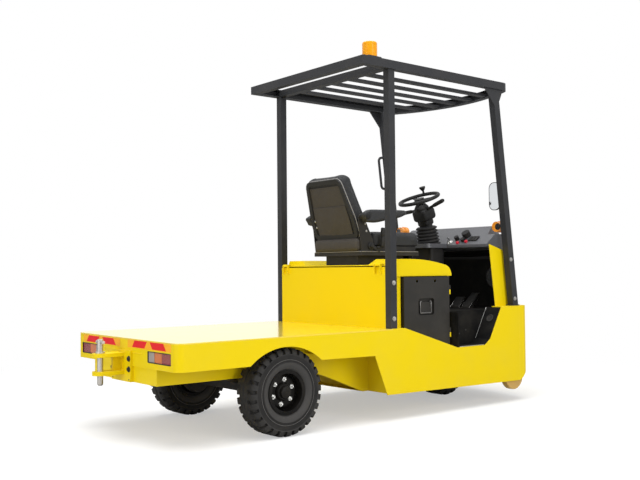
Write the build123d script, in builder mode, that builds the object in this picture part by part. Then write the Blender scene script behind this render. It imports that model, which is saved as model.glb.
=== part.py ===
"""Electric baggage tug: load deck over two rear wheels, battery box with the seat on its hood, a step-in cab,
one steered drive wheel on the centreline under a bowed nose, and a slatted guard roof on four posts.

Millimetres. +X is forward, +Y is left, +Z is up. The origin is on the floor, at the middle of the length and width.
A station is a distance forward of the deck's rear face.
"""
import os
from math import atan2, cos, degrees, radians, sin, tan

from build123d import *

# Body
WIDTH = 1110
HALF = WIDTH / 2
DECK_LENGTH = 1393  # rear face to the battery box's rear wall
DECK_TOP = 519
PLATE = 6
SKIRT_BOTTOM = 382
REAR_CORNER = 45
STEP_START = DECK_LENGTH + 541
STEP_FLAT_END = STEP_START + 257
STEP_FRONT_BOTTOM = STEP_FLAT_END + 51
STEP_FRONT_TOP = STEP_FRONT_BOTTOM + 110
STEP_TOP = 380
SHOULDER_SLOPE_START = DECK_LENGTH + 97
NOSE_CORNER = STEP_FRONT_TOP + 256  # station where the side and the bowed nose would meet
NOSE_BOW = 127
FRONT_CORNER = 60
NOSE_SPLIT = NOSE_CORNER - 78  # station of the seam between the side panels and the nose panel
APRON_BOTTOM = 132
APRON_RISE = 18  # how much higher the apron's bottom edge is at its rear end
APRON_REAR = DECK_LENGTH - 48
APRON_SLOPE = 93  # run of the slanted edge where the apron starts
LEDGE_TOP = 614

# Hitch
HITCH_REACH = 165
TONGUE_THICK = 20
UPPER_TONGUE = 426
LOWER_TONGUE = 335
PIN_RADIUS = 15
PIN_STATION = -125
PIN_DROP = 52
PIN_STAND = 70
FIT = 0.05  # radial running clearance of a pin or spindle in its bore

# Running gear
REAR_WHEEL_RADIUS = 228.5
REAR_WHEEL_WIDTH = 156
REAR_TRACK = WIDTH - 186
AXLE_STATION = 659
SPINDLE_RADIUS = 22.5
DRUM_RADIUS = 88
DRUM_WIDTH = 36
ARCH_STATION = AXLE_STATION - 19
ARCH_HALF = 228
ARCH_RISE = 84
FRONT_WHEEL_RADIUS = 203
FRONT_WHEEL_WIDTH = 150
STEER_STATION = STEP_FRONT_TOP + 18
RIM_RADIUS = 104
RIM_LIP = 116
RIM_SEAT_HALF = 60
KINGPIN_RADIUS = 30
AXLE_RADIUS = 18
ROLLER_RADIUS = 87
ROLLER_WIDTH = 44
ROLLER_STATION = NOSE_SPLIT - 38
ROLLER_FLOOR_GAP = 75
ROLLER_Y = HALF - 37
SEAT_GAP = 0.3  # between a tyre and its rim, and other seated curved faces

# Chassis
RAIL_Y = HALF - 210
RAIL_BOTTOM = 300
RAIL_WEB = 8
RAIL_FLANGE = 42
RAIL_BEND = AXLE_STATION + 291
CROSS_PLATES = (AXLE_STATION - 269, AXLE_STATION + 266)
CAB_RAIL_Y = HALF - 247
CAB_RAIL_START = STEP_START + 116
BELLY = 150
TRAY_TOP = 320
BEARING_PLATE = 470
BEARING_PLATE_THICK = 12

# Posts
POST_WIDTH = 45
POST_DEPTH = 47
POST_INNER = HALF - 60
FRONT_POST_DEPTH = 50
FRONT_POST_FOOT = NOSE_SPLIT - 13
FRONT_POST_LEAN = 7

# Battery box and hood
WALL_HALF = POST_INNER - 2
WALL_TOP = 872
BOX_HALF = POST_INNER - 17
BOX_FRONT = STEP_START + 10
BOX_FRONT_TOP = 824
BOX_SIDE_TOP = 858
DOOR_REAR = DECK_LENGTH + 143
DOOR_FRONT = BOX_FRONT - 19
DOOR_TOP = 811
DOOR_THICK = 22
MOVE_GAP = 6  # running gap round doors and the hood
HOOD_GAP = 9  # ahead of the box's front wall, which the skirt's edge swings past
HOOD_SKIRT = 815
HOOD_TOP = 917
HOOD_SEAT_LEVEL = 884
HOOD_SHOULDER = BOX_HALF - 126
HOOD_SLOPE = 54
HOOD_REAR = DECK_LENGTH + PLATE
HOOD_CURVE = DECK_LENGTH + 207
HOOD_PIN_STATION = DECK_LENGTH - 7
HOOD_PIN_Z = 884
HOOD_PIN_RADIUS = 5
HOOD_HINGE_Y = HOOD_SHOULDER + 88
HOOD_HALF = POST_INNER - MOVE_GAP
HOOD_FRONT = BOX_FRONT + PLATE + HOOD_GAP
KNUCKLE_RADIUS = 9
KNUCKLE_LENGTH = 40
BUFFER_STATION = BOX_FRONT - 124
BUFFER_RADIUS = 8
DOOR_PIN_RADIUS = 3
DOOR_KNUCKLE_RADIUS = 6
DOOR_KNUCKLE_LENGTH = 28
DOOR_HINGES = (470, 730)  # heights of the two hinges of a side door
SHOULDER_REAR = DECK_LENGTH + POST_DEPTH
BATTERY_INSET = 40
BATTERY_LENGTH = 440
BATTERY_WIDTH = 2 * (BOX_HALF - 48)
BATTERY_HEIGHT = 440

# Cab
FLOOR_TOP = 592
WELL_INNER = HALF - 125
SHEET = 4
COWL_INSET = 75
COWL_REAR_BOTTOM = STEP_FRONT_TOP + 32
COWL_REAR_TOP = STEP_FRONT_TOP - 22
COWL_SIDE_TOP = 1015
COWL_SHOULDER = COWL_REAR_BOTTOM + 75
COWL_FRONT_TOP = 930
DASH_REAR = COWL_REAR_TOP + 5
DASH_LOW = 1016
DASH_HIGH = 1140
DASH_CREST = DASH_REAR + 170
DASH_HALF = HALF - 100
DASH_CREST_HALF = HALF - 183
DASH_END_TOP = 1082
COLUMN_TILT = 20
WHEEL_CENTRE_STATION = DASH_REAR - 148
WHEEL_CENTRE_Z = 1330
STEERING_RADIUS = 145
GRIP_RADIUS = 12
COLUMN_HALF = 95
COLUMN_STATION = DASH_REAR - 73
HUB_DROP = 30
SHAFT_STUB = 34
HEAD_TOP = 38
HEAD_BOTTOM = 215
KNOB_ANGLE = 27
KNOB_RADIUS = 133
BELLOWS_STATION = COLUMN_STATION + 14
BELLOWS_TILT = 10
BELLOWS_HEIGHT = 132
BELLOWS_RIBS = 6
BELLOWS_FOOT = 82
BELLOWS_NECK = 70
PEDAL_STATION = DASH_REAR + 85
LATCH_LENGTH = 134
LATCH_HEIGHT = 100
LATCH_Z = 632

# Seat
SEAT_WIDTH = 450
CUSHION_REAR = DECK_LENGTH + 167
BACK_FOOT = CUSHION_REAR - 110
SEAT_PLATE = 942
CUSHION_FRONT = CUSHION_REAR + 415
CUSHION_TOP = 1085
CUSHION_BOTTOM = 1000
BACK_WIDTH = 430
BACK_RECLINE = 19
BACK_HEIGHT = 400
BACK_THICK = 105
ARM_Y = 262
ARM_WIDTH = 55
ARM_LENGTH = 350
ARM_PIVOT_STATION = BACK_FOOT + 8
ARM_PIVOT_Z = 1175

# Guard roof
ROOF_REAR = DECK_LENGTH - 203
ROOF_CORNER = FRONT_POST_FOOT - 65
ROOF_BOW = 148
ROOF_HALF = POST_INNER + POST_WIDTH + 8
ROOF_BOTTOM = 2010
ROOF_TOP = 2060
ROOF_CORNER_RADIUS = 62
BEAM = 45
BEAM_WALL = 4
SLAT_WIDTH = 42
SLAT_THICK = 15
SLAT_PITCH = 155
SLATS = 5
BEACON_RADIUS = 43
BEACON_STATION = ROOF_REAR + 95
BEACON_HEIGHT = 86
GUSSET_HEIGHT = 110
GUSSET_REACH = 110
GRAB_LOW = 1445
GRAB_LENGTH = 235
GRAB_REACH = 62
MIRROR_Y = 70 - POST_INNER
MIRROR_Z = 1330
MIRROR_HALF_WIDTH = 58
MIRROR_HALF_HEIGHT = 80
TURN_LAMP_Z = 1130

# Lamps
TAIL_LAMP_INNER = HALF - REAR_CORNER - 248
TAIL_LAMP_LENGTH = 232
TAIL_LAMP_BOTTOM = 409
TAIL_LAMP_HEIGHT = 58
TAIL_LAMP_DEPTH = 40
LENS_SHARES = (0.27, 0.33, 0.40)  # clear, amber and red, from the inner end
HEADLAMP_RADIUS = 72
HEADLAMP_Y = HALF - 225
HEADLAMP_Z = 800
HEADLAMP_STATION = NOSE_CORNER + 14

NOSE = NOSE_CORNER + NOSE_BOW
REAR_X = HITCH_REACH - (NOSE + HITCH_REACH) / 2
SIDES = {"left": 1, "right": -1}
TALL = 3 * WIDTH  # taller than the vehicle, for cutting tools


def at(station):
    """X of a station."""
    return REAR_X + station


def station_plane(station):
    """Upright plane across the vehicle, its own x pointing left and its normal pointing forward."""
    return Plane(origin=(at(station), 0, 0), x_dir=(0, 1, 0), z_dir=(1, 0, 0))


def side_plane(y):
    """Upright plane along the vehicle, its own x pointing forward and its normal pointing right."""
    return Plane(origin=(0, y, 0), x_dir=(1, 0, 0), z_dir=(0, -1, 0))


def keep(part, name):
    part.label = name
    export_step(part, f"parts/{name}.step")
    print(f"{name}: {len(part.solids())} solid(s), {part.volume / 1e6:.3f} litres")


def bowed_plan(half, rear, corner, bow, rear_radius, front_radius, inset=0.0):
    """Outline from above: square rear end, straight sides, bowed front, all corners round, moved in by inset."""
    with BuildSketch() as plan:
        with BuildLine():
            sides = Polyline((at(corner), -half), (at(rear), -half), (at(rear), half), (at(corner), half))
            ThreePointArc(sides @ 1, (at(corner + bow), 0), sides @ 0)
        make_face()
        if rear_radius:
            fillet(plan.vertices().group_by(Axis.X)[0], rear_radius)
        fillet(plan.vertices().group_by(Axis.X)[-1], front_radius)
        if inset:
            offset(amount=-inset)
    return plan.sketch


def body_plan(inset=0.0):
    return bowed_plan(HALF, 0, NOSE_CORNER, NOSE_BOW, REAR_CORNER, FRONT_CORNER, inset)


def roof_plan(inset=0.0):
    return bowed_plan(ROOF_HALF, ROOF_REAR, ROOF_CORNER, ROOF_BOW, 0, ROOF_CORNER_RADIUS, inset)


def ring(outer, inner, low, high):
    """Upright wall between two plan outlines."""
    with BuildPart() as wall:
        with BuildSketch(Plane.XY.offset(low)):
            add(outer)
            add(inner, mode=Mode.SUBTRACT)
        extrude(amount=high - low)
    return wall.part


def slab(x0, x1, y0, y1, z0, z1, mode=Mode.ADD):
    """Box between two corners, for use inside a builder."""
    with Locations(((x0 + x1) / 2, (y0 + y1) / 2, (z0 + z1) / 2)):
        return Box(x1 - x0, y1 - y0, z1 - z0, mode=mode)


def shoulder_height(station):
    """Height of the side panel's top edge where it slopes from the deck down to the step."""
    run = (station - SHOULDER_SLOPE_START) / (STEP_START - SHOULDER_SLOPE_START)
    return DECK_TOP + run * (STEP_TOP - DECK_TOP)


def side_outline():
    """Side panel seen from the side, with the wheel arch, the apron and the step cut-out."""
    with BuildSketch(side_plane(0)) as outline:
        with BuildLine():
            top = Polyline(
                (at(NOSE_SPLIT), LEDGE_TOP - PLATE),
                (at(STEP_FRONT_TOP), LEDGE_TOP - PLATE),
                (at(STEP_FRONT_BOTTOM), STEP_TOP + 34),
                (at(STEP_FLAT_END), STEP_TOP),
                (at(STEP_START), STEP_TOP),
                (at(SHOULDER_SLOPE_START), DECK_TOP),
                (at(DECK_LENGTH), DECK_TOP),
                (at(DECK_LENGTH), DECK_TOP - PLATE),
                (at(0), DECK_TOP - PLATE),
                (at(0), SKIRT_BOTTOM),
                (at(ARCH_STATION - ARCH_HALF), SKIRT_BOTTOM),
            )
            arch = ThreePointArc(
                top @ 1,
                (at(ARCH_STATION), SKIRT_BOTTOM + ARCH_RISE),
                (at(ARCH_STATION + ARCH_HALF), SKIRT_BOTTOM),
            )
            Polyline(
                arch @ 1,
                (at(APRON_REAR - APRON_SLOPE), SKIRT_BOTTOM - PLATE),
                (at(APRON_REAR), APRON_BOTTOM + APRON_RISE),
                (at(NOSE_SPLIT), APRON_BOTTOM),
                top @ 0,
            )
        make_face()
    return outline.sketch


def side_panel():
    """Left side: one plate round the rear corner to the nose, its top edge folded inwards to the battery box."""
    with BuildPart() as panel:
        add(ring(body_plan(), body_plan(PLATE), APRON_BOTTOM, LEDGE_TOP))
        with BuildSketch(side_plane(HALF - REAR_CORNER)):
            add(side_outline())
        extrude(amount=-REAR_CORNER, mode=Mode.INTERSECT)
        with BuildSketch(side_plane(BOX_HALF)):
            with BuildLine():
                Polyline(
                    (at(DECK_LENGTH), DECK_TOP),
                    (at(SHOULDER_SLOPE_START), DECK_TOP),
                    (at(STEP_START), STEP_TOP),
                    (at(STEP_START), STEP_TOP - PLATE),
                    (at(SHOULDER_SLOPE_START), DECK_TOP - PLATE),
                    (at(DECK_LENGTH), DECK_TOP - PLATE),
                    close=True,
                )
            make_face()
        extrude(amount=-(HALF - PLATE - BOX_HALF))
    return panel.part


def rear_panel():
    """Rear skirt with the two lamp openings and the bolt holes of the hitch."""
    with BuildPart() as panel:
        with BuildSketch(station_plane(0)):
            with Locations((0, (SKIRT_BOTTOM + DECK_TOP - PLATE) / 2)):
                Rectangle(WIDTH - 2 * REAR_CORNER, DECK_TOP - PLATE - SKIRT_BOTTOM)
            with Locations(*[(sign * lamp_y(), lamp_z()) for sign in SIDES.values()]):
                RectangleRounded(TAIL_LAMP_LENGTH, TAIL_LAMP_HEIGHT, 6, mode=Mode.SUBTRACT)
        extrude(amount=PLATE)
    return panel.part


def nose_panel():
    """Bowed lower nose, its corners round, with the ledge round the cab that carries the front posts."""
    with BuildPart() as panel:
        add(ring(body_plan(), body_plan(PLATE), APRON_BOTTOM, LEDGE_TOP - PLATE))
        with BuildSketch(side_plane(HALF)):
            with BuildLine():
                Polyline(
                    (at(NOSE_SPLIT), APRON_BOTTOM),
                    (at(NOSE_SPLIT + 30), APRON_BOTTOM + 15),
                    (at(NOSE_CORNER), APRON_BOTTOM + 60),
                    (at(NOSE), APRON_BOTTOM + 60),
                    (at(NOSE), LEDGE_TOP - PLATE),
                    (at(NOSE_SPLIT), LEDGE_TOP - PLATE),
                    close=True,
                )
            make_face()
        extrude(amount=WIDTH, mode=Mode.INTERSECT)
    return panel.part


def ledge():
    """Flat ledge on top of the lower nose, open in the middle for the cab."""
    with BuildPart() as plate:
        add(ring(body_plan(), body_plan(COWL_INSET + SHEET), LEDGE_TOP - PLATE, LEDGE_TOP))
        with BuildSketch(Plane.XY.offset(LEDGE_TOP)):
            with Locations((at(STEP_FRONT_TOP), 0)):
                Rectangle(TALL, TALL, align=(Align.MAX, Align.CENTER))
        extrude(amount=-PLATE, mode=Mode.SUBTRACT)
    return plate.part


def deck_plate():
    with BuildPart() as plate:
        with BuildSketch(Plane.XY.offset(DECK_TOP - PLATE)):
            add(body_plan())
            with Locations((at(DECK_LENGTH), 0)):
                Rectangle(TALL, TALL, align=(Align.MIN, Align.CENTER), mode=Mode.SUBTRACT)
        extrude(amount=PLATE)
    return plate.part


def front_cowl():
    """Yellow cowl that wraps the footwell above the ledge, with a sloped top plate and two headlamp openings."""
    with BuildPart() as cowl:
        add(ring(body_plan(COWL_INSET), body_plan(COWL_INSET + SHEET), LEDGE_TOP, COWL_SIDE_TOP))
        add(cowl_cap())
        with BuildSketch(side_plane(HALF)):
            with BuildLine():
                Polyline(
                    (at(COWL_REAR_BOTTOM), LEDGE_TOP),
                    (at(COWL_REAR_TOP), COWL_SIDE_TOP),
                    (at(COWL_SHOULDER), COWL_SIDE_TOP - 37),
                    (at(NOSE), COWL_FRONT_TOP),
                    (at(NOSE), LEDGE_TOP),
                    close=True,
                )
            make_face()
        extrude(amount=WIDTH, mode=Mode.INTERSECT)
        with BuildSketch(station_plane(NOSE)):
            with Locations(*[(sign * HEADLAMP_Y, HEADLAMP_Z) for sign in SIDES.values()]):
                Circle(HEADLAMP_RADIUS)
        extrude(amount=-300, mode=Mode.SUBTRACT)
    return cowl.part


def cowl_cap():
    """Sloped plate that closes the cowl in front of the dash."""
    with BuildPart() as cap:
        with BuildSketch(Plane.XY.offset(LEDGE_TOP)):
            add(body_plan(COWL_INSET + SHEET))
        extrude(amount=COWL_SIDE_TOP - LEDGE_TOP)
        with BuildSketch(side_plane(HALF)):
            with BuildLine():
                Polyline(
                    (at(COWL_SHOULDER), COWL_SIDE_TOP - 37),
                    (at(NOSE), COWL_FRONT_TOP),
                    (at(NOSE), COWL_FRONT_TOP - SHEET),
                    (at(COWL_SHOULDER), COWL_SIDE_TOP - 37 - SHEET),
                    close=True,
                )
            make_face()
        extrude(amount=WIDTH, mode=Mode.INTERSECT)
    return cap.part


def dash_panel():
    """Moulded dash: a sloped control face, a rounded crest with lower ends, and a tongue for the column."""
    with BuildPart() as dash:
        with BuildSketch(side_plane(DASH_HALF)):
            add(dash_outline())
        extrude(amount=2 * DASH_HALF)
        with BuildSketch(station_plane(DASH_REAR)):
            with BuildLine():
                Polyline(
                    (-DASH_HALF, DASH_LOW - 60),
                    (-DASH_HALF, DASH_END_TOP),
                    (-DASH_CREST_HALF - 22, DASH_END_TOP),
                    (-DASH_CREST_HALF, DASH_HIGH + 1),
                    (DASH_CREST_HALF, DASH_HIGH + 1),
                    (DASH_CREST_HALF + 22, DASH_END_TOP),
                    (DASH_HALF, DASH_END_TOP),
                    (DASH_HALF, DASH_LOW - 60),
                    close=True,
                )
            make_face()
        extrude(amount=NOSE, mode=Mode.INTERSECT)
        with BuildSketch(Plane.XY):
            add(body_plan(COWL_INSET + 2 * SHEET))
        extrude(amount=TALL, mode=Mode.INTERSECT)
        with BuildSketch(Plane.XY.offset(DASH_LOW - 18)):
            with Locations((at(WHEEL_CENTRE_STATION - 40), 0)):
                RectangleRounded(DASH_REAR - WHEEL_CENTRE_STATION + 60, 2 * COLUMN_HALF + 40, 25,
                                 align=(Align.MIN, Align.CENTER))
        extrude(amount=28)
    return dash.part


def dash_outline():
    """Dash seen from the side; its foot follows the cowl's sloped top plate."""
    with BuildSketch(side_plane(0)) as outline:
        with BuildLine():
            face = Polyline(
                (at(DASH_REAR), DASH_LOW - 18),
                (at(DASH_REAR), DASH_LOW),
                (at(DASH_CREST - 22), DASH_HIGH - 10),
            )
            crest = ThreePointArc(face @ 1, (at(DASH_CREST), DASH_HIGH), (at(DASH_CREST + 26), DASH_HIGH - 14))
            Polyline(
                crest @ 1,
                (at(DASH_CREST + 75), cowl_top(DASH_CREST + 75)),
                (at(COWL_SHOULDER), cowl_top(COWL_SHOULDER)),
                face @ 0,
            )
        make_face()
    return outline.sketch


def cowl_top(station):
    """Height of the cowl's sloped top plate."""
    drop = COWL_SIDE_TOP - 37 - COWL_FRONT_TOP
    return COWL_SIDE_TOP - 37 - drop * (station - COWL_SHOULDER) / (NOSE - COWL_SHOULDER)


def cab_floor():
    """Black cab moulding: floor, a step well in each side and the liner of the footwell."""
    with BuildPart() as floor:
        with BuildSketch(Plane.XY.offset(FLOOR_TOP - PLATE)):
            add(body_plan(COWL_INSET + SHEET + SEAT_GAP))
            with Locations((at(BOX_FRONT + SHEET), 0)):
                Rectangle(TALL, TALL, align=(Align.MAX, Align.CENTER), mode=Mode.SUBTRACT)
            for sign in SIDES.values():
                with Locations((at(STEP_FRONT_TOP), sign * WELL_INNER)):
                    Rectangle(TALL, TALL, align=(Align.MAX, Align.MIN if sign > 0 else Align.MAX),
                              mode=Mode.SUBTRACT)
        extrude(amount=PLATE)
        add(footwell_liner())
        for sign in SIDES.values():
            add(step_well(sign))
    return floor.part


def footwell_liner():
    with BuildPart() as liner:
        add(ring(body_plan(COWL_INSET + SHEET + SEAT_GAP), body_plan(COWL_INSET + 2 * SHEET + SEAT_GAP),
                 FLOOR_TOP, COWL_FRONT_TOP - 2 * SHEET))
        slab(at(COWL_REAR_BOTTOM + 20), at(NOSE), -HALF, HALF, FLOOR_TOP, TALL, mode=Mode.INTERSECT)
        with BuildSketch(station_plane(NOSE)):
            with Locations(*[(sign * HEADLAMP_Y, HEADLAMP_Z) for sign in SIDES.values()]):
                Circle(HEADLAMP_RADIUS)
        extrude(amount=-300, mode=Mode.SUBTRACT)
    return liner.part


def step_well(sign):
    """Foot hold in one side: tread, upright inner wall, rear wall and the slanted front sheet."""
    outer = HALF - PLATE
    with BuildPart() as well:
        with BuildSketch(side_plane(sign * WELL_INNER)):
            with BuildLine():
                Polyline(
                    (at(BOX_FRONT + SHEET), FLOOR_TOP),
                    (at(BOX_FRONT + SHEET), STEP_TOP - SHEET),
                    (at(STEP_FLAT_END), STEP_TOP - SHEET),
                    (at(STEP_FRONT_BOTTOM), STEP_TOP + 30),
                    (at(STEP_FRONT_TOP), LEDGE_TOP - PLATE - SHEET),
                    (at(STEP_FRONT_TOP), LEDGE_TOP - PLATE),
                    (at(STEP_FRONT_TOP - 2 * SHEET), LEDGE_TOP - PLATE),
                    (at(STEP_FRONT_TOP - 3 * SHEET), FLOOR_TOP),
                    close=True,
                )
            make_face()
        extrude(amount=-sign * (outer - WELL_INNER))
        with BuildSketch(side_plane(sign * (WELL_INNER + SHEET))):
            with BuildLine():
                Polyline(
                    (at(BOX_FRONT + 2 * SHEET), TALL),
                    (at(BOX_FRONT + 2 * SHEET), STEP_TOP),
                    (at(STEP_FLAT_END), STEP_TOP),
                    (at(STEP_FRONT_BOTTOM - SHEET), STEP_TOP + 34),
                    (at(STEP_FRONT_TOP - SHEET), LEDGE_TOP - PLATE),
                    (at(STEP_FRONT_TOP - SHEET), TALL),
                    close=True,
                )
            make_face()
        extrude(amount=-sign * outer, mode=Mode.SUBTRACT)
    return well.part


def chassis_frame():
    """Welded frame: two rails, cross plates, battery tray, belly plate, cab rails and roller brackets."""
    with BuildPart() as frame:
        for sign in SIDES.values():
            with BuildSketch(side_plane(sign * RAIL_Y)):
                with BuildLine():
                    Polyline(
                        (at(TAIL_LAMP_DEPTH + 2 * PLATE), DECK_TOP - PLATE),
                        (at(TAIL_LAMP_DEPTH + 2 * PLATE), TAIL_LAMP_BOTTOM - PLATE),
                        (at(2 * PLATE), TAIL_LAMP_BOTTOM - PLATE),
                        (at(2 * PLATE), RAIL_BOTTOM),
                        (at(RAIL_BEND), RAIL_BOTTOM),
                        (at(RAIL_BEND + 110), RAIL_BOTTOM - 38),
                        (at(APRON_REAR), BELLY),
                        (at(CAB_RAIL_START), BELLY),
                        (at(CAB_RAIL_START), TRAY_TOP - SHEET),
                        (at(DECK_LENGTH - PLATE), TRAY_TOP - SHEET),
                        (at(DECK_LENGTH - PLATE), DECK_TOP - PLATE),
                        close=True,
                    )
                make_face()
            extrude(amount=sign * RAIL_WEB)
            with BuildSketch(side_plane(sign * CAB_RAIL_Y)):
                with BuildLine():
                    Polyline(
                        (at(CAB_RAIL_START), BELLY),
                        (at(NOSE_SPLIT), BELLY),
                        (at(NOSE_CORNER), APRON_BOTTOM + 60),
                        (at(NOSE), APRON_BOTTOM + 60),
                        (at(NOSE), FLOOR_TOP - PLATE),
                        (at(CAB_RAIL_START), FLOOR_TOP - PLATE),
                        close=True,
                    )
                make_face()
            extrude(amount=sign * RAIL_WEB)
            low, high = sorted((sign * (RAIL_Y - RAIL_FLANGE), sign * RAIL_Y))
            slab(at(2 * PLATE), at(RAIL_BEND), low, high, RAIL_BOTTOM, RAIL_BOTTOM + RAIL_WEB)
        inner = HALF - PLATE
        slab(at(PLATE), at(2 * PLATE), -RAIL_Y, RAIL_Y, RAIL_BOTTOM, DECK_TOP - PLATE)
        for station in CROSS_PLATES:
            slab(at(station), at(station + RAIL_WEB), -inner, inner, DECK_TOP - 120, DECK_TOP - PLATE)
        slab(at(DECK_LENGTH - PLATE), at(DECK_LENGTH), -inner, inner, BELLY, DECK_TOP - PLATE)
        slab(at(CAB_RAIL_START - RAIL_WEB), at(CAB_RAIL_START), -inner, inner, BELLY, STEP_TOP - 2 * SHEET)
        slab(at(DECK_LENGTH), at(CAB_RAIL_START), -BOX_HALF, BOX_HALF, TRAY_TOP - SHEET, TRAY_TOP)
        slab(at(APRON_REAR), at(CAB_RAIL_START), -RAIL_Y, RAIL_Y, BELLY, BELLY + SHEET)
        slab(at(STEER_STATION - 230), at(STEER_STATION + 230), -CAB_RAIL_Y, CAB_RAIL_Y,
             BEARING_PLATE, BEARING_PLATE + BEARING_PLATE_THICK)
        slab(at(STEER_STATION + 250), at(STEER_STATION + 250 + RAIL_WEB), -CAB_RAIL_Y, CAB_RAIL_Y,
             APRON_BOTTOM + 60, FLOOR_TOP - PLATE)
        with BuildSketch(Plane.XY.offset(0)):
            add(body_plan(PLATE))
        extrude(amount=TALL, mode=Mode.INTERSECT)
        with Locations((at(STEER_STATION), 0, BEARING_PLATE)):
            Cylinder(KINGPIN_RADIUS + FIT, 2 * BEARING_PLATE_THICK + 1, mode=Mode.SUBTRACT)
        with BuildSketch(station_plane(0)):
            with Locations(*[(sign * lamp_y(), lamp_z()) for sign in SIDES.values()]):
                Rectangle(TAIL_LAMP_LENGTH, TAIL_LAMP_HEIGHT)
        extrude(amount=2 * PLATE, mode=Mode.SUBTRACT)
        for sign in SIDES.values():
            add(roller_bracket(sign))
    return frame.part


def roller_bracket(sign):
    """Outrigger with a hanger plate and the axle of a corner roller, which ends in the side panel."""
    centre = ROLLER_FLOOR_GAP + ROLLER_RADIUS
    hanger = ROLLER_Y - ROLLER_WIDTH / 2 - MOVE_GAP
    inner = HALF - PLATE
    top = centre + ROLLER_RADIUS + 40
    with BuildPart() as bracket:
        low, high = sorted((sign * CAB_RAIL_Y, sign * inner))
        slab(at(ROLLER_STATION - 40), at(ROLLER_STATION + 36), low, high, top, top + 20)
        with BuildSketch(side_plane(sign * hanger)):
            with Locations((at(ROLLER_STATION), centre)):
                Circle(28)
            with Locations((at(ROLLER_STATION), (centre + top) / 2)):
                Rectangle(56, top - centre)
        extrude(amount=sign * PLATE)
        with BuildSketch(side_plane(sign * hanger)):
            with Locations((at(ROLLER_STATION), centre)):
                Circle(10)
        extrude(amount=-sign * (inner - hanger))
    return bracket.part


def corner_roller(sign):
    with BuildPart() as roller:
        with BuildSketch(side_plane(sign * (ROLLER_Y - ROLLER_WIDTH / 2))):
            with Locations((at(ROLLER_STATION), ROLLER_FLOOR_GAP + ROLLER_RADIUS)):
                Circle(ROLLER_RADIUS)
                Circle(10 + FIT, mode=Mode.SUBTRACT)
        extrude(amount=-sign * ROLLER_WIDTH)
        fillet(roller.edges().filter_by(GeomType.CIRCLE).sort_by(SortBy.RADIUS)[-2:], 6)
    return roller.part


def rear_axle():
    """Square axle beam with spindles and brake drums, hung from the rails on two tapered leaf packs."""
    height = REAR_WHEEL_RADIUS
    beam = 60
    spring_y = RAIL_Y - RAIL_FLANGE / 2
    with BuildPart() as axle:
        with Locations((at(AXLE_STATION), 0, height)):
            Box(beam, 2 * (RAIL_Y - 5), beam)
            Cylinder(SPINDLE_RADIUS, REAR_TRACK + 40, rotation=(90, 0, 0))
        for sign in SIDES.values():
            with Locations((at(AXLE_STATION), sign * (RAIL_Y + 5 + DRUM_WIDTH / 2), height)):
                Cylinder(DRUM_RADIUS, DRUM_WIDTH, rotation=(90, 0, 0))
            with BuildSketch(side_plane(sign * spring_y + 20)):
                with BuildLine():
                    top = ThreePointArc(
                        (at(AXLE_STATION - 260), RAIL_BOTTOM),
                        (at(AXLE_STATION), height + beam / 2 + 22),
                        (at(AXLE_STATION + 260), RAIL_BOTTOM),
                    )
                    foot = ThreePointArc(
                        (at(AXLE_STATION + 260), RAIL_BOTTOM - 9),
                        (at(AXLE_STATION), height + beam / 2 - 1),
                        (at(AXLE_STATION - 260), RAIL_BOTTOM - 9),
                    )
                    Line(top @ 1, foot @ 0)
                    Line(foot @ 1, top @ 0)
                make_face()
            extrude(amount=40)
    return axle.part


def tyre(radius, width):
    """Solid of revolution round its own Z: flat tread, faceted shoulders, bulging walls and the bead seat."""
    bead = RIM_RADIUS + SEAT_GAP
    half = width / 2
    seat = RIM_SEAT_HALF - SEAT_GAP
    wall = [
        (bead, seat),
        (RIM_LIP + 2, seat),
        (RIM_LIP + 16, half - 6),
        (RIM_LIP + 38, half),
        (radius - 34, half - 2),
        (radius - 12, half - 7),
        (radius, half - 20),
    ]
    with BuildPart() as body:
        with BuildSketch(Plane.XZ):
            with BuildLine():
                Polyline(*wall, *[(r, -z) for r, z in reversed(wall)], close=True)
            make_face()
        revolve(axis=Axis.Z)
    return body.part


def rim(bore, boss_in, boss_out, disc, capped):
    """Wheel rim round its own Z, +Z outwards: lipped barrel, dished disc, bored boss and hub cap."""
    with BuildPart() as body:
        with BuildSketch(Plane.XZ):
            with BuildLine():
                Polyline(
                    (RIM_RADIUS - 6, -RIM_SEAT_HALF - 6),
                    (RIM_LIP, -RIM_SEAT_HALF - 6),
                    (RIM_LIP, -RIM_SEAT_HALF),
                    (RIM_RADIUS, -RIM_SEAT_HALF),
                    (RIM_RADIUS, RIM_SEAT_HALF),
                    (RIM_LIP, RIM_SEAT_HALF),
                    (RIM_LIP, RIM_SEAT_HALF + 6),
                    (RIM_RADIUS - 6, RIM_SEAT_HALF + 6),
                    (RIM_RADIUS - 6, disc + 10),
                    (78, disc + 22),
                    (50, disc + 22),
                    (46, boss_out),
                    (bore, boss_out),
                    (bore, boss_in),
                    (44, boss_in),
                    (48, disc + 12),
                    (76, disc + 12),
                    (RIM_RADIUS - 6, disc),
                    close=True,
                )
            make_face()
            if capped:
                with BuildLine():
                    Polyline((0, boss_out), (46, boss_out), (40, boss_out + 8), (34, boss_out + 8),
                             (30, boss_out + 24), (0, boss_out + 24), close=True)
                make_face()
        revolve(axis=Axis.Z)
    return body.part


def placed_wheel(part, station, y, height, sign):
    """Turns a wheel made round Z so that its +Z points outwards, to the side given by sign."""
    return part.moved(Location((at(station), y, height), (-90 * sign, 0, 0)))


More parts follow.
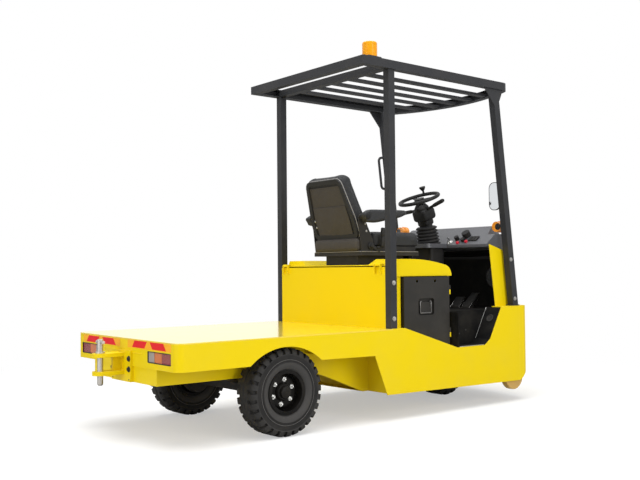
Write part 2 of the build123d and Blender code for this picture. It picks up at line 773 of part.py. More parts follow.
def drive_fork():
    """Steered head: kingpin, crown, two arms, the wheel's axle and the hub motor beside the right arm."""
    arm_in = FRONT_WHEEL_WIDTH / 2 + 9
    arm = 16
    crown_top = BEARING_PLATE - SEAT_GAP
    crown_low = FRONT_WHEEL_RADIUS * 2 + 19
    with BuildPart() as fork:
        with BuildSketch(Plane.XY.offset(crown_low)):
            Circle(130)
        extrude(amount=crown_top - crown_low)
        with BuildSketch(Plane.XY.offset(crown_top)):
            Circle(KINGPIN_RADIUS)
        extrude(amount=BEARING_PLATE_THICK + 28)
        with BuildSketch(Plane.XY.offset(BEARING_PLATE + BEARING_PLATE_THICK + SEAT_GAP)):
            Circle(KINGPIN_RADIUS + 16)
        extrude(amount=14)
        for sign in SIDES.values():
            with BuildSketch(side_plane(sign * arm_in)):
                with Locations((0, FRONT_WHEEL_RADIUS)):
                    Circle(46)
                with Locations((0, (FRONT_WHEEL_RADIUS + crown_low + 4) / 2)):
                    Rectangle(92, crown_low + 4 - FRONT_WHEEL_RADIUS)
            extrude(amount=-sign * arm)
        with Locations((0, 0, FRONT_WHEEL_RADIUS)):
            Cylinder(AXLE_RADIUS, 2 * arm_in + arm, rotation=(90, 0, 0))
        with Locations((0, -arm_in - arm - 52, FRONT_WHEEL_RADIUS)):
            Cylinder(64, 105, rotation=(90, 0, 0))
    return fork.part.moved(Location((at(STEER_STATION), 0, 0)))


def battery_box():
    """Yellow box behind the cab, with the door openings, the hood's hinge lugs and rests, and the door hinges."""
    with BuildPart() as box:
        slab(at(DECK_LENGTH), at(DECK_LENGTH + PLATE), -WALL_HALF, WALL_HALF, DECK_TOP, WALL_TOP)
        slab(at(DECK_LENGTH), at(DECK_LENGTH + PLATE), -BOX_HALF, BOX_HALF, DECK_TOP - PLATE, DECK_TOP)
        slab(at(BOX_FRONT - PLATE), at(BOX_FRONT), -BOX_HALF, BOX_HALF, TRAY_TOP, BOX_FRONT_TOP)
        for sign in SIDES.values():
            low, high = sorted((sign * (BOX_HALF - PLATE), sign * BOX_HALF))
            slab(at(DECK_LENGTH + PLATE), at(BOX_FRONT), low, high, TRAY_TOP, BOX_SIDE_TOP)
        with BuildSketch(side_plane(BOX_HALF)):
            add(door_outline(-MOVE_GAP))
            with BuildLine():
                Polyline(
                    (at(BOX_FRONT), BOX_FRONT_TOP),
                    (at(BOX_FRONT), BOX_SIDE_TOP),
                    (at(BOX_FRONT - 50), BOX_SIDE_TOP),
                    close=True,
                )
            make_face()
        extrude(amount=2 * BOX_HALF, mode=Mode.SUBTRACT)
        for sign in SIDES.values():
            with Locations((at(BUFFER_STATION), sign * (BOX_HALF - BUFFER_RADIUS), BOX_SIDE_TOP - 20)):
                Cylinder(BUFFER_RADIUS, HOOD_SEAT_LEVEL - PLATE - SEAT_GAP - BOX_SIDE_TOP + 20,
                         align=(Align.CENTER, Align.CENTER, Align.MIN))
            add(hood_lugs(sign))
            for height in DOOR_HINGES:
                add(door_hinge(sign, height))
    return box.part


def hood_lugs(sign):
    """Two lugs on the box's rear wall with the pin of one hood hinge."""
    reach = KNUCKLE_LENGTH / 2 + SEAT_GAP
    with BuildPart() as lugs:
        for side in (-1, 1):
            y = sign * HOOD_HINGE_Y + side * reach
            with BuildSketch(side_plane(y)):
                with Locations((at(HOOD_PIN_STATION), HOOD_PIN_Z)):
                    Circle(KNUCKLE_RADIUS)
                with BuildLine():
                    Polyline(
                        (at(HOOD_PIN_STATION - KNUCKLE_RADIUS), HOOD_PIN_Z),
                        (at(HOOD_PIN_STATION - KNUCKLE_RADIUS), WALL_TOP - 30),
                        (at(DECK_LENGTH), WALL_TOP - 44),
                        (at(DECK_LENGTH), HOOD_PIN_Z),
                        close=True,
                    )
                make_face()
            extrude(amount=-side * PLATE)
        with Locations((at(HOOD_PIN_STATION), sign * HOOD_HINGE_Y, HOOD_PIN_Z)):
            Cylinder(HOOD_PIN_RADIUS, 2 * reach + PLATE, rotation=(90, 0, 0))
    return lugs.part


def door_pin_spot(sign):
    """Axis of a side door's hinges: ahead of the door's front edge, just inside its outer face."""
    return at(DOOR_FRONT + MOVE_GAP), sign * (BOX_HALF + DOOR_THICK - 3)


def door_hinge(sign, height):
    """Fixed knuckle with its pin standing up, on a foot welded to the box's side."""
    x, y = door_pin_spot(sign)
    with BuildPart() as hinge:
        with BuildSketch(Plane.XY.offset(height - DOOR_KNUCKLE_LENGTH)):
            with Locations((x, y)):
                Circle(DOOR_KNUCKLE_RADIUS)
            low, high = sorted((sign * (BOX_HALF - 1), y))
            with Locations((x, (low + high) / 2)):
                Rectangle(DOOR_KNUCKLE_RADIUS, high - low, align=(Align.MIN, Align.CENTER))
        extrude(amount=DOOR_KNUCKLE_LENGTH)
        with Locations((x, y, height - DOOR_KNUCKLE_LENGTH)):
            Cylinder(DOOR_PIN_RADIUS, 2 * DOOR_KNUCKLE_LENGTH - 2, align=(Align.CENTER, Align.CENTER, Align.MIN))
    return hinge.part


def door_outline(inset=0.0):
    """Side door seen from the side: upright edges, level top, bottom edge along the side panel's slope."""
    rear, front = DOOR_REAR + inset, DOOR_FRONT - inset
    lift = 2 + MOVE_GAP + inset
    with BuildSketch(side_plane(0)) as outline:
        with BuildLine():
            Polyline(
                (at(rear), shoulder_height(rear) + lift),
                (at(front), shoulder_height(front) + lift),
                (at(front), DOOR_TOP - inset),
                (at(rear), DOOR_TOP - inset),
                close=True,
            )
        make_face()
    return outline.sketch


def side_door():
    """Right door: folded pan with a recessed latch and its bail, and two round holes at the top."""
    middle = (DOOR_REAR + DOOR_FRONT) / 2 - 8
    with BuildPart() as door:
        with BuildSketch(side_plane(-BOX_HALF)):
            add(door_outline())
        extrude(amount=DOOR_THICK)
        with BuildSketch(side_plane(SHEET - BOX_HALF)):
            add(door_outline(SHEET))
        extrude(amount=DOOR_THICK, mode=Mode.SUBTRACT)
        with BuildSketch(side_plane(-BOX_HALF)):
            with Locations((at(middle), LATCH_Z)):
                RectangleRounded(LATCH_LENGTH + 2 * SHEET, LATCH_HEIGHT + 2 * SHEET, 16)
        extrude(amount=DOOR_THICK)
        with BuildSketch(side_plane(-BOX_HALF - SHEET)):
            with Locations((at(middle), LATCH_Z)):
                RectangleRounded(LATCH_LENGTH, LATCH_HEIGHT, 14)
        extrude(amount=DOOR_THICK, mode=Mode.SUBTRACT)
        with BuildSketch(side_plane(-BOX_HALF - SHEET)):
            with Locations((at(middle + 6), LATCH_Z - 6)):
                RectangleRounded(LATCH_LENGTH - 34, LATCH_HEIGHT - 30, 8)
        extrude(amount=DOOR_THICK - SHEET - 5)
        with BuildSketch(side_plane(-BOX_HALF)):
            with Locations(*[(at(middle + shift), DOOR_TOP - 26) for shift in (-76, 78)]):
                Circle(9)
        extrude(amount=DOOR_THICK, mode=Mode.SUBTRACT)
        x, y = door_pin_spot(-1)
        for height in DOOR_HINGES:
            with BuildSketch(Plane.XY.offset(height + SEAT_GAP)):
                with Locations((x, y)):
                    Circle(DOOR_KNUCKLE_RADIUS)
                with Locations((x, y - DOOR_KNUCKLE_RADIUS / 2 + 3)):
                    Rectangle(MOVE_GAP + 1, DOOR_KNUCKLE_RADIUS, align=(Align.MAX, Align.MIN))
                with Locations((x, y)):
                    Circle(DOOR_PIN_RADIUS + FIT, mode=Mode.SUBTRACT)
            extrude(amount=DOOR_KNUCKLE_LENGTH)
    return door.part


def hood():
    """Lid of the battery box: raised round-fronted shoulders either side of the seat's flat recess."""
    half = HOOD_HALF
    with BuildPart() as lid:
        with BuildSketch(side_plane(half)):
            with BuildLine():
                rear = Polyline(
                    (at(HOOD_FRONT), HOOD_SKIRT),
                    (at(HOOD_REAR + PLATE), HOOD_SKIRT),
                    (at(HOOD_REAR + PLATE), HOOD_SEAT_LEVEL - PLATE),
                    (at(HOOD_REAR), HOOD_SEAT_LEVEL - PLATE),
                    (at(HOOD_REAR), HOOD_SEAT_LEVEL),
                    (at(SHOULDER_REAR), HOOD_SEAT_LEVEL),
                    (at(SHOULDER_REAR + 16), HOOD_TOP),
                    (at(HOOD_CURVE), HOOD_TOP),
                )
                crown = TangentArc(rear @ 1, (at(HOOD_FRONT - 50), HOOD_TOP - 36), tangent=(1, 0))
                ThreePointArc(crown @ 1, (at(HOOD_FRONT - 12), HOOD_TOP - 62), rear @ 0)
            make_face()
        extrude(amount=2 * half)
        with BuildSketch(station_plane(HOOD_REAR - 1)):
            with BuildLine():
                Polyline(
                    (-HOOD_SHOULDER, HOOD_TOP + 1),
                    (HOOD_SHOULDER, HOOD_TOP + 1),
                    (HOOD_SHOULDER - HOOD_SLOPE, HOOD_SEAT_LEVEL),
                    (HOOD_SLOPE - HOOD_SHOULDER, HOOD_SEAT_LEVEL),
                    close=True,
                )
            make_face()
        extrude(amount=HOOD_FRONT, mode=Mode.SUBTRACT)
        with BuildSketch(side_plane(half - PLATE)):
            with BuildLine():
                under = Polyline(
                    (at(HOOD_FRONT - PLATE), HOOD_SKIRT),
                    (at(HOOD_FRONT - PLATE), HOOD_SKIRT - 10),
                    (at(HOOD_REAR), HOOD_SKIRT - 10),
                    (at(HOOD_REAR), HOOD_SEAT_LEVEL - PLATE),
                    (at(HOOD_FRONT - 65), HOOD_SEAT_LEVEL - PLATE),
                )
                ThreePointArc(under @ 1, (at(HOOD_FRONT - 22), HOOD_TOP - 68), under @ 0)
            make_face()
        extrude(amount=2 * (half - PLATE), mode=Mode.SUBTRACT)
        with BuildSketch(side_plane(HOOD_HINGE_Y + KNUCKLE_LENGTH / 2)):
            add(hood_knuckle())
        extrude(amount=KNUCKLE_LENGTH)
        with BuildSketch(side_plane(KNUCKLE_LENGTH / 2 - HOOD_HINGE_Y)):
            add(hood_knuckle())
        extrude(amount=KNUCKLE_LENGTH)
    return lid.part


def hood_knuckle():
    """Rolled eye on a flat tongue that lies on the hood's rear edge."""
    with BuildSketch(side_plane(0)) as eye:
        with Locations((at(HOOD_PIN_STATION), HOOD_PIN_Z)):
            Circle(KNUCKLE_RADIUS)
            Rectangle(HOOD_REAR - HOOD_PIN_STATION + 20, PLATE, align=(Align.MIN, Align.MIN))
            Circle(HOOD_PIN_RADIUS + FIT, mode=Mode.SUBTRACT)
    return eye.sketch


def seat_base():
    """Suspension box, its wide plate, the seat pan and the two side plates that carry back and arms."""
    with BuildPart() as base:
        slab(at(CUSHION_REAR - 70), at(CUSHION_FRONT - 95), -150, 150, HOOD_SEAT_LEVEL, SEAT_PLATE)
        slab(at(CUSHION_REAR - 106), at(CUSHION_FRONT - 30), -225, 225, SEAT_PLATE, SEAT_PLATE + 24)
        slab(at(CUSHION_REAR - 95), at(CUSHION_FRONT - 40), -205, 205, SEAT_PLATE + 24, CUSHION_BOTTOM)
        for sign in SIDES.values():
            y = sign * (BACK_WIDTH / 2 + SEAT_GAP)
            with BuildSketch(side_plane(y)):
                with BuildLine():
                    Polyline(
                        (at(CUSHION_REAR - 100), SEAT_PLATE + 24),
                        (at(CUSHION_REAR - 8), SEAT_PLATE + 24),
                        (at(CUSHION_REAR - 8), CUSHION_BOTTOM + 40),
                        (at(ARM_PIVOT_STATION + 24), ARM_PIVOT_Z),
                        (at(ARM_PIVOT_STATION), ARM_PIVOT_Z + 24),
                        (at(ARM_PIVOT_STATION - 24), ARM_PIVOT_Z),
                        close=True,
                    )
                make_face()
            extrude(amount=-sign * PLATE)
            with BuildSketch(side_plane(y)):
                with Locations((at(ARM_PIVOT_STATION), ARM_PIVOT_Z)):
                    Circle(10)
            extrude(amount=-sign * (ARM_Y - BACK_WIDTH / 2 - SEAT_GAP))
        slab(at(CUSHION_REAR - 95), at(CUSHION_REAR - 40), -BACK_WIDTH / 2 - SEAT_GAP, BACK_WIDTH / 2 + SEAT_GAP,
             SEAT_PLATE + 24, CUSHION_BOTTOM)
    return base.part


def seat_cushion():
    with BuildPart() as cushion:
        slab(at(CUSHION_REAR), at(CUSHION_FRONT), -SEAT_WIDTH / 2, SEAT_WIDTH / 2, CUSHION_BOTTOM + SEAT_GAP, CUSHION_TOP)
        fillet(cushion.edges().filter_by(Axis.Y).group_by(Axis.X)[-1].sort_by(Axis.Z)[-1], 40)
        fillet(cushion.edges().filter_by(Axis.Z), 30)
    return cushion.part


def seat_back():
    """Backrest on its reclined plane: rounded top corners, flat rear shell."""
    with BuildPart() as back:
        with BuildSketch(Plane.XY):
            RectangleRounded(BACK_THICK, BACK_WIDTH, 20, align=(Align.MIN, Align.CENTER))
        extrude(amount=BACK_HEIGHT)
        fillet(back.edges().group_by(Axis.Z)[-1].filter_by(Axis.X), 45)
    return back.part.moved(Location((at(BACK_FOOT), 0, CUSHION_BOTTOM + 42), (0, -BACK_RECLINE, 0)))


def armrest(sign):
    """Padded arm with a blind bore for its pivot pin."""
    with BuildPart() as arm:
        with BuildSketch(side_plane(sign * (ARM_Y - ARM_WIDTH / 2))):
            with BuildLine():
                Polyline(
                    (at(ARM_PIVOT_STATION - 38), ARM_PIVOT_Z + 14),
                    (at(ARM_PIVOT_STATION + 20), ARM_PIVOT_Z + 45),
                    (at(ARM_PIVOT_STATION + ARM_LENGTH - 40), ARM_PIVOT_Z + 50),
                    (at(ARM_PIVOT_STATION + ARM_LENGTH - 14), ARM_PIVOT_Z + 24),
                    (at(ARM_PIVOT_STATION + ARM_LENGTH - 80), ARM_PIVOT_Z - 2),
                    (at(ARM_PIVOT_STATION + 60), ARM_PIVOT_Z - 38),
                    (at(ARM_PIVOT_STATION - 6), ARM_PIVOT_Z - 34),
                    close=True,
                )
            make_face()
            fillet(vertices(), 12)
            with Locations((at(ARM_PIVOT_STATION), ARM_PIVOT_Z)):
                Circle(10 + FIT, mode=Mode.SUBTRACT)
        extrude(amount=-sign * ARM_WIDTH)
    return arm.part


def rear_posts():
    with BuildPart() as posts:
        for sign in SIDES.values():
            low, high = sorted((sign * POST_INNER, sign * (POST_INNER + POST_WIDTH)))
            slab(at(DECK_LENGTH), at(DECK_LENGTH + POST_DEPTH), low, high, DECK_TOP, ROOF_BOTTOM)
    return posts.part


def front_post_station(height):
    return FRONT_POST_FOOT - (height - LEDGE_TOP) * tan(radians(FRONT_POST_LEAN))


def front_posts():
    """Leaning posts on foot plates, flared by gussets under the roof, with a grab handle on the left one."""
    half = FRONT_POST_DEPTH / 2
    top = front_post_station(ROOF_BOTTOM)
    gusset_z = ROOF_BOTTOM - GUSSET_HEIGHT
    gusset = front_post_station(gusset_z)
    with BuildPart() as posts:
        for sign in SIDES.values():
            outer = sign * (POST_INNER + POST_WIDTH)
            with BuildSketch(side_plane(outer)):
                with BuildLine():
                    Polyline(
                        (at(FRONT_POST_FOOT - half), LEDGE_TOP),
                        (at(top - half), ROOF_BOTTOM),
                        (at(top + half), ROOF_BOTTOM),
                        (at(FRONT_POST_FOOT + half), LEDGE_TOP),
                        close=True,
                    )
                make_face()
            extrude(amount=sign * POST_WIDTH)
            with BuildSketch(side_plane(outer)):
                with BuildLine():
                    Polyline(
                        (at(gusset - half), gusset_z),
                        (at(top - GUSSET_REACH), ROOF_BOTTOM),
                        (at(top + half + 45), ROOF_BOTTOM),
                        (at(gusset + half), gusset_z + 40),
                        close=True,
                    )
                make_face()
            extrude(amount=sign * PLATE)
            low, high = sorted((sign * (POST_INNER - 8), outer))
            slab(at(FRONT_POST_FOOT - half - 12), at(FRONT_POST_FOOT + half + 12), low, high, LEDGE_TOP, LEDGE_TOP + PLATE)
        add(grab_handle())
    return posts.part


def grab_handle():
    """Bent tube behind the left front post."""
    y = POST_INNER + POST_WIDTH / 2
    low, high = GRAB_LOW, GRAB_LOW + GRAB_LENGTH
    inside = -FRONT_POST_DEPTH / 2 + 2
    with BuildPart() as handle:
        with BuildLine() as path:
            FilletPolyline(
                (at(front_post_station(low) + inside), y, low),
                (at(front_post_station(low) + inside - GRAB_REACH), y, low + 6),
                (at(front_post_station(high) + inside - GRAB_REACH), y, high - 6),
                (at(front_post_station(high) + inside), y, high),
                radius=26,
            )
        with BuildSketch(Plane(origin=path.line @ 0, z_dir=path.line % 0)):
            Circle(9)
        sweep()
    return handle.part


def roof_frame():
    """Channel frame with a bowed front, a cross bar over the rear posts, slats and the beacon's plate."""
    with BuildPart() as roof:
        add(ring(roof_plan(), roof_plan(BEAM_WALL), ROOF_BOTTOM, ROOF_TOP))
        add(ring(roof_plan(), roof_plan(BEAM), ROOF_BOTTOM, ROOF_BOTTOM + BEAM_WALL))
        add(ring(roof_plan(), roof_plan(BEAM), ROOF_TOP - BEAM_WALL, ROOF_TOP))
        inner = ROOF_HALF - BEAM_WALL
        slab(at(DECK_LENGTH), at(DECK_LENGTH + BEAM), -inner, inner, ROOF_BOTTOM + BEAM_WALL, ROOF_TOP - BEAM_WALL)
        add(roof_slats())
        slab(at(BEACON_STATION - 50), at(BEACON_STATION + 50), 3 - ROOF_HALF, 99 - ROOF_HALF,
             ROOF_TOP - BEAM_WALL / 2, ROOF_TOP + PLATE)
    return roof.part


def roof_slats():
    with BuildPart() as slats:
        with BuildSketch(Plane.XY.offset(ROOF_BOTTOM + BEAM_WALL)):
            with Locations((at(DECK_LENGTH + BEAM), 0)):
                with GridLocations(0, SLAT_PITCH, 1, SLATS):
                    Rectangle(ROOF_CORNER, SLAT_WIDTH, align=(Align.MIN, Align.CENTER))
            add(roof_plan(BEAM / 2), mode=Mode.INTERSECT)
        extrude(amount=SLAT_THICK)
    return slats.part


def beacon():
    with BuildPart() as lens:
        with BuildSketch(Plane.XY.offset(ROOF_TOP + PLATE)):
            with Locations((at(BEACON_STATION), -ROOF_HALF + 5 + BEACON_RADIUS)):
                Circle(BEACON_RADIUS)
        extrude(amount=BEACON_HEIGHT)
        fillet(lens.edges().group_by(Axis.Z)[-1], 9)
    return lens.part


def column_frame(drop):
    """Frame on the steering axis, drop below the steering wheel's plane, its Z along the axis."""
    tilt = radians(COLUMN_TILT)
    return Location(
        (at(WHEEL_CENTRE_STATION) + drop * sin(tilt), 0, WHEEL_CENTRE_Z - drop * cos(tilt)), (0, -COLUMN_TILT, 0)
    )


def steering_wheel():
    """Rim, three spokes, hub with its shaft stub, and a spinner knob."""
    knob = radians(KNOB_ANGLE)
    with BuildPart() as wheel:
        with BuildSketch(Plane.XZ):
            with Locations((STEERING_RADIUS - GRIP_RADIUS, 0)):
                Circle(GRIP_RADIUS)
        revolve(axis=Axis.Z)
        with Locations((0, 0, -14)):
            Cylinder(34, 34)
        with BuildSketch(Plane.XY.offset(-12)):
            with PolarLocations(0, 3, start_angle=60):
                Rectangle(STEERING_RADIUS - GRIP_RADIUS, 22, align=(Align.MIN, Align.CENTER))
        extrude(amount=8)
        with Locations((0, 0, -HUB_DROP)):
            Cylinder(12, SHAFT_STUB, align=(Align.CENTER, Align.CENTER, Align.MAX))
        with Locations((KNOB_RADIUS * cos(knob), KNOB_RADIUS * sin(knob), 0)):
            Cylinder(7, 34, align=(Align.CENTER, Align.CENTER, Align.MIN))
        with Locations((KNOB_RADIUS * cos(knob), KNOB_RADIUS * sin(knob), 30)):
            Cone(10, 21, 18, align=(Align.CENTER, Align.CENTER, Align.MIN))
        with Locations((KNOB_RADIUS * cos(knob), KNOB_RADIUS * sin(knob), 48)):
            Cylinder(21, 8, align=(Align.CENTER, Align.CENTER, Align.MIN))
    return wheel.part.moved(column_frame(0))


def steering_column():
    """Column cover on the floor, and the head with two stalks above the bellows."""
    with BuildPart() as cover:
        with BuildSketch(Plane.XY.offset(FLOOR_TOP)):
            with Locations((at(COLUMN_STATION + 20), 0)):
                RectangleRounded(130, 2 * COLUMN_HALF, 20)
        with BuildSketch(Plane.XY.offset(DASH_LOW - 18)):
            with Locations((at(COLUMN_STATION), 0)):
                RectangleRounded(2 * (DASH_REAR - PLATE - COLUMN_STATION), 2 * COLUMN_HALF, 20)
        loft()
    with BuildPart() as head:
        with BuildSketch(Plane.XZ):
            with BuildLine():
                Polyline(
                    (0, -HEAD_TOP), (34, -HEAD_TOP), (50, -HEAD_TOP - 22), (50, -HEAD_TOP - 62), (44, -HEAD_TOP - 80), (44, -HEAD_BOTTOM),
                    (0, -HEAD_BOTTOM), close=True,
                )
            make_face()
        revolve(axis=Axis.Z)
        with Locations((0, 0, -HEAD_TOP)):
            Cylinder(12 + FIT, SHAFT_STUB, align=(Align.CENTER, Align.CENTER, Align.MAX), mode=Mode.SUBTRACT)
        with Locations(Location((0, -40, -HEAD_TOP - 40), (72, 0, 0))):
            Cylinder(9, 180, align=(Align.CENTER, Align.CENTER, Align.MIN))
        with Locations(Location((0, 40, -HEAD_TOP - 40), (-95, 0, 0))):
            Cylinder(9, 130, align=(Align.CENTER, Align.CENTER, Align.MIN))
    with BuildPart() as seated:
        add(head.part.moved(column_frame(0)))
        split(bisect_by=bellows_top().offset(SEAT_GAP), keep=Keep.TOP)
    return Compound([cover.part, seated.part])


def bellows_top():
    """Plane of the upper end of the column's rubber boot."""
    tilt = radians(BELLOWS_TILT)
    origin = (at(BELLOWS_STATION) - BELLOWS_HEIGHT * sin(tilt), 0, DASH_LOW + BELLOWS_HEIGHT * cos(tilt))
    return Plane(origin=origin, z_dir=(-sin(tilt), 0, cos(tilt)))


def column_bellows():
    """Ribbed rubber boot between the dash and the column head."""
    rib = BELLOWS_HEIGHT / BELLOWS_RIBS
    taper = (BELLOWS_FOOT - BELLOWS_NECK) / BELLOWS_RIBS
    points = [(0, 0)]
    for n in range(BELLOWS_RIBS):
        radius = BELLOWS_FOOT - n * taper
        points += [(radius - 12, n * rib), (radius, (n + 0.35) * rib), (radius, (n + 0.65) * rib)]
    points += [(BELLOWS_NECK - 12, BELLOWS_HEIGHT), (0, BELLOWS_HEIGHT)]
    with BuildPart() as boot:
        with BuildSketch(Plane.XZ):
            with BuildLine():
                Polyline(*points, close=True)
            make_face()
        revolve(axis=Axis.Z)
    with BuildPart() as seated:
        add(boot.part.moved(Location((at(BELLOWS_STATION), 0, DASH_LOW), (0, -BELLOWS_TILT, 0))))
        slab(at(0), at(NOSE), -HALF, HALF, 0, DASH_LOW + 10, mode=Mode.SUBTRACT)
    return seated.part


def hitch_bracket():
    """Bolted plate with an upper and a lower tongue, bored for the tow pin, and the web between them."""
    with BuildPart() as bracket:
        slab(at(-12), at(0), -105, 105, RAIL_BOTTOM, 458)
        slab(at(0), at(PLATE), -105, 105, RAIL_BOTTOM, SKIRT_BOTTOM)
        with BuildSketch(Plane.XY.offset(LOWER_TONGUE)):
            add(tongue())
        extrude(amount=TONGUE_THICK)
        with BuildSketch(Plane.XY.offset(UPPER_TONGUE)):
            add(tongue())
        extrude(amount=TONGUE_THICK)
        slab(at(-60), at(-12), -9, 9, LOWER_TONGUE, UPPER_TONGUE + TONGUE_THICK)
    return bracket.part


def tongue():
    with BuildSketch() as outline:
        with Locations((at(PIN_STATION), 0)):
            Circle(HITCH_REACH + PIN_STATION)
            Rectangle(-PIN_STATION - 12, 2 * (HITCH_REACH + PIN_STATION), align=(Align.MIN, Align.CENTER))
            Circle(PIN_RADIUS + FIT, mode=Mode.SUBTRACT)
    return outline.sketch


def tow_pin():
    """Drop pin with a rounded point, a collar that rests on the upper tongue, and a grip."""
    rest = UPPER_TONGUE + TONGUE_THICK + SEAT_GAP
    with BuildPart() as pin:
        with BuildSketch(Plane.XY.offset(LOWER_TONGUE - PIN_DROP)):
            Circle(PIN_RADIUS)
        extrude(amount=rest + PIN_STAND - LOWER_TONGUE + PIN_DROP)
        fillet(pin.edges().group_by(Axis.Z)[0], 10)
        with Locations((0, 0, rest)):
            Cylinder(24, 8, align=(Align.CENTER, Align.CENTER, Align.MIN))
        with Locations((0, 0, rest + PIN_STAND - 14)):
            Cylinder(8, 76, rotation=(90, 0, 0))
    return pin.part.moved(Location((at(PIN_STATION), 0, 0)))


def lamp_y():
    return TAIL_LAMP_INNER + TAIL_LAMP_LENGTH / 2


def lamp_z():
    return TAIL_LAMP_BOTTOM + TAIL_LAMP_HEIGHT / 2


def tail_lamp_housings():
    """Two trays set into the rear panel, open to the rear."""
    length, height = TAIL_LAMP_LENGTH - 2 * SEAT_GAP, TAIL_LAMP_HEIGHT - 2 * SEAT_GAP
    with BuildPart() as trays:
        with BuildSketch(station_plane(1)):
            with Locations(*[(sign * lamp_y(), lamp_z()) for sign in SIDES.values()]):
                RectangleRounded(length, height, 6)
        extrude(amount=TAIL_LAMP_DEPTH)
        with BuildSketch(station_plane(0)):
            with Locations(*[(sign * lamp_y(), lamp_z()) for sign in SIDES.values()]):
                RectangleRounded(length - 8, height - 8, 4)
        extrude(amount=TAIL_LAMP_DEPTH - SHEET, mode=Mode.SUBTRACT)
    return trays.part


def tail_lamp_lenses():
    """Three lenses in each tray, clear, amber and red from the inner end, joined by their shared base."""
    length, height = TAIL_LAMP_LENGTH - 10, TAIL_LAMP_HEIGHT - 10
    start = TAIL_LAMP_INNER + 5
    with BuildPart() as lenses:
        for sign in SIDES.values():
            with BuildSketch(station_plane(TAIL_LAMP_DEPTH - SHEET)):
                with Locations((sign * lamp_y(), lamp_z())):
                    RectangleRounded(length, height, 4)
            extrude(amount=-(TAIL_LAMP_DEPTH - SHEET - 16))
            edge = start
            for share in LENS_SHARES:
                step = share * length
                with BuildSketch(station_plane(16)):
                    with Locations((sign * (edge + step / 2), lamp_z())):
                        Rectangle(step - 3, height)
                extrude(amount=-12)
                edge += step
    return lenses.part


def headlamps():
    """Round lamps set into the cowl, with domed lenses."""
    with BuildPart() as lamps:
        for sign in SIDES.values():
            with BuildSketch(station_plane(HEADLAMP_STATION - 60)):
                with Locations((sign * HEADLAMP_Y, HEADLAMP_Z)):
                    Circle(HEADLAMP_RADIUS - 1)
            extrude(amount=60)
        fillet(lamps.faces().filter_by(Axis.X).group_by(Axis.X)[-1].edges(), 18)
    return lamps.part


def turn_lamps():
    """Amber lenses on short housings inside the front posts, facing forward."""
    station = front_post_station(TURN_LAMP_Z)
    with BuildPart() as lamps:
        for sign in SIDES.values():
            y = sign * (POST_INNER - 48)
            with BuildSketch(station_plane(station + 20)):
                with Locations((y, TURN_LAMP_Z)):
                    Circle(38)
            extrude(amount=30)
    return lamps.part


def turn_lamp_housings():
    station = front_post_station(TURN_LAMP_Z)
    with BuildPart() as cups:
        for sign in SIDES.values():
            y = sign * (POST_INNER - 48)
            with BuildSketch(station_plane(station - 12)):
                with Locations((y, TURN_LAMP_Z)):
                    Circle(34)
            extrude(amount=32)
            low, high = sorted((sign * (POST_INNER - 20), sign * POST_INNER))
            slab(at(station - 8), at(station + 12), low, high, TURN_LAMP_Z - 12, TURN_LAMP_Z + 12)
    return cups.part


def mirror_body():
    """Oval housing turned to the driver, on an arm clamped inside the right front post."""
    station = front_post_station(MIRROR_Z)
    with BuildPart() as body:
        with BuildSketch(station_plane(station)):
            with Locations((MIRROR_Y, MIRROR_Z)):
                Ellipse(MIRROR_HALF_WIDTH, MIRROR_HALF_HEIGHT)
        extrude(amount=18)
        slab(at(station + 2), at(station + 14), -POST_INNER, MIRROR_Y - MIRROR_HALF_WIDTH + 6, MIRROR_Z - 10, MIRROR_Z + 10)
    return body.part


def mirror_glass():
    with BuildPart() as glass:
        with BuildSketch(station_plane(front_post_station(MIRROR_Z))):
            with Locations((MIRROR_Y, MIRROR_Z)):
                Ellipse(MIRROR_HALF_WIDTH - 7, MIRROR_HALF_HEIGHT - 7)
        extrude(amount=-3)
    return glass.part


def pedals():
    """Accelerator treadle and brake pedal, hinged on the floor."""
    with BuildPart() as treadles:
        for y, width, length, rise in ((-190, 66, 150, 42), (-95, 74, 96, 48)):
            with BuildSketch(side_plane(y + width / 2)):
                with BuildLine():
                    run, climb = length * cos(radians(rise)), length * sin(radians(rise))
                    foot = at(PEDAL_STATION)
                    Polyline(
                        (foot, FLOOR_TOP), (foot + run, FLOOR_TOP + climb), (foot + run + 10, FLOOR_TOP + climb - 8),
                        (foot + run - 14, FLOOR_TOP + climb - 44), (foot + 40, FLOOR_TOP), close=True,
                    )
                make_face()
            extrude(amount=width)
    return treadles.part


def dash_controls():
    """Key switch, two round knobs and a row of rockers on the dash's sloped face."""
    slope = degrees(atan2(DASH_HIGH - 10 - DASH_LOW, DASH_CREST - 22 - DASH_REAR))
    tilt = radians(slope)
    with BuildPart() as controls:
        for y, run, radius, height in ((-165, 60, 16, 26), (-228, 95, 28, 34), (-228, 45, 17, 20)):
            spot = Location(
                (at(DASH_REAR) + run * cos(tilt), y, DASH_LOW + run * sin(tilt)), (0, -slope, 0)
            )
            with Locations(spot):
                Cylinder(radius, height, align=(Align.CENTER, Align.CENTER, Align.MIN))
        for y in (-285, -310, -335):
            spot = Location((at(DASH_REAR) + 60 * cos(tilt), y, DASH_LOW + 60 * sin(tilt)), (0, -slope, 0))
            with Locations(spot):
                Box(44, 20, 8, align=(Align.CENTER, Align.CENTER, Align.MIN))
    return controls.part


def battery():
    with BuildPart() as block:
        slab(at(DECK_LENGTH + BATTERY_INSET), at(DECK_LENGTH + BATTERY_INSET + BATTERY_LENGTH), -BATTERY_WIDTH / 2, BATTERY_WIDTH / 2,
             TRAY_TOP, TRAY_TOP + BATTERY_HEIGHT)
    return block.part


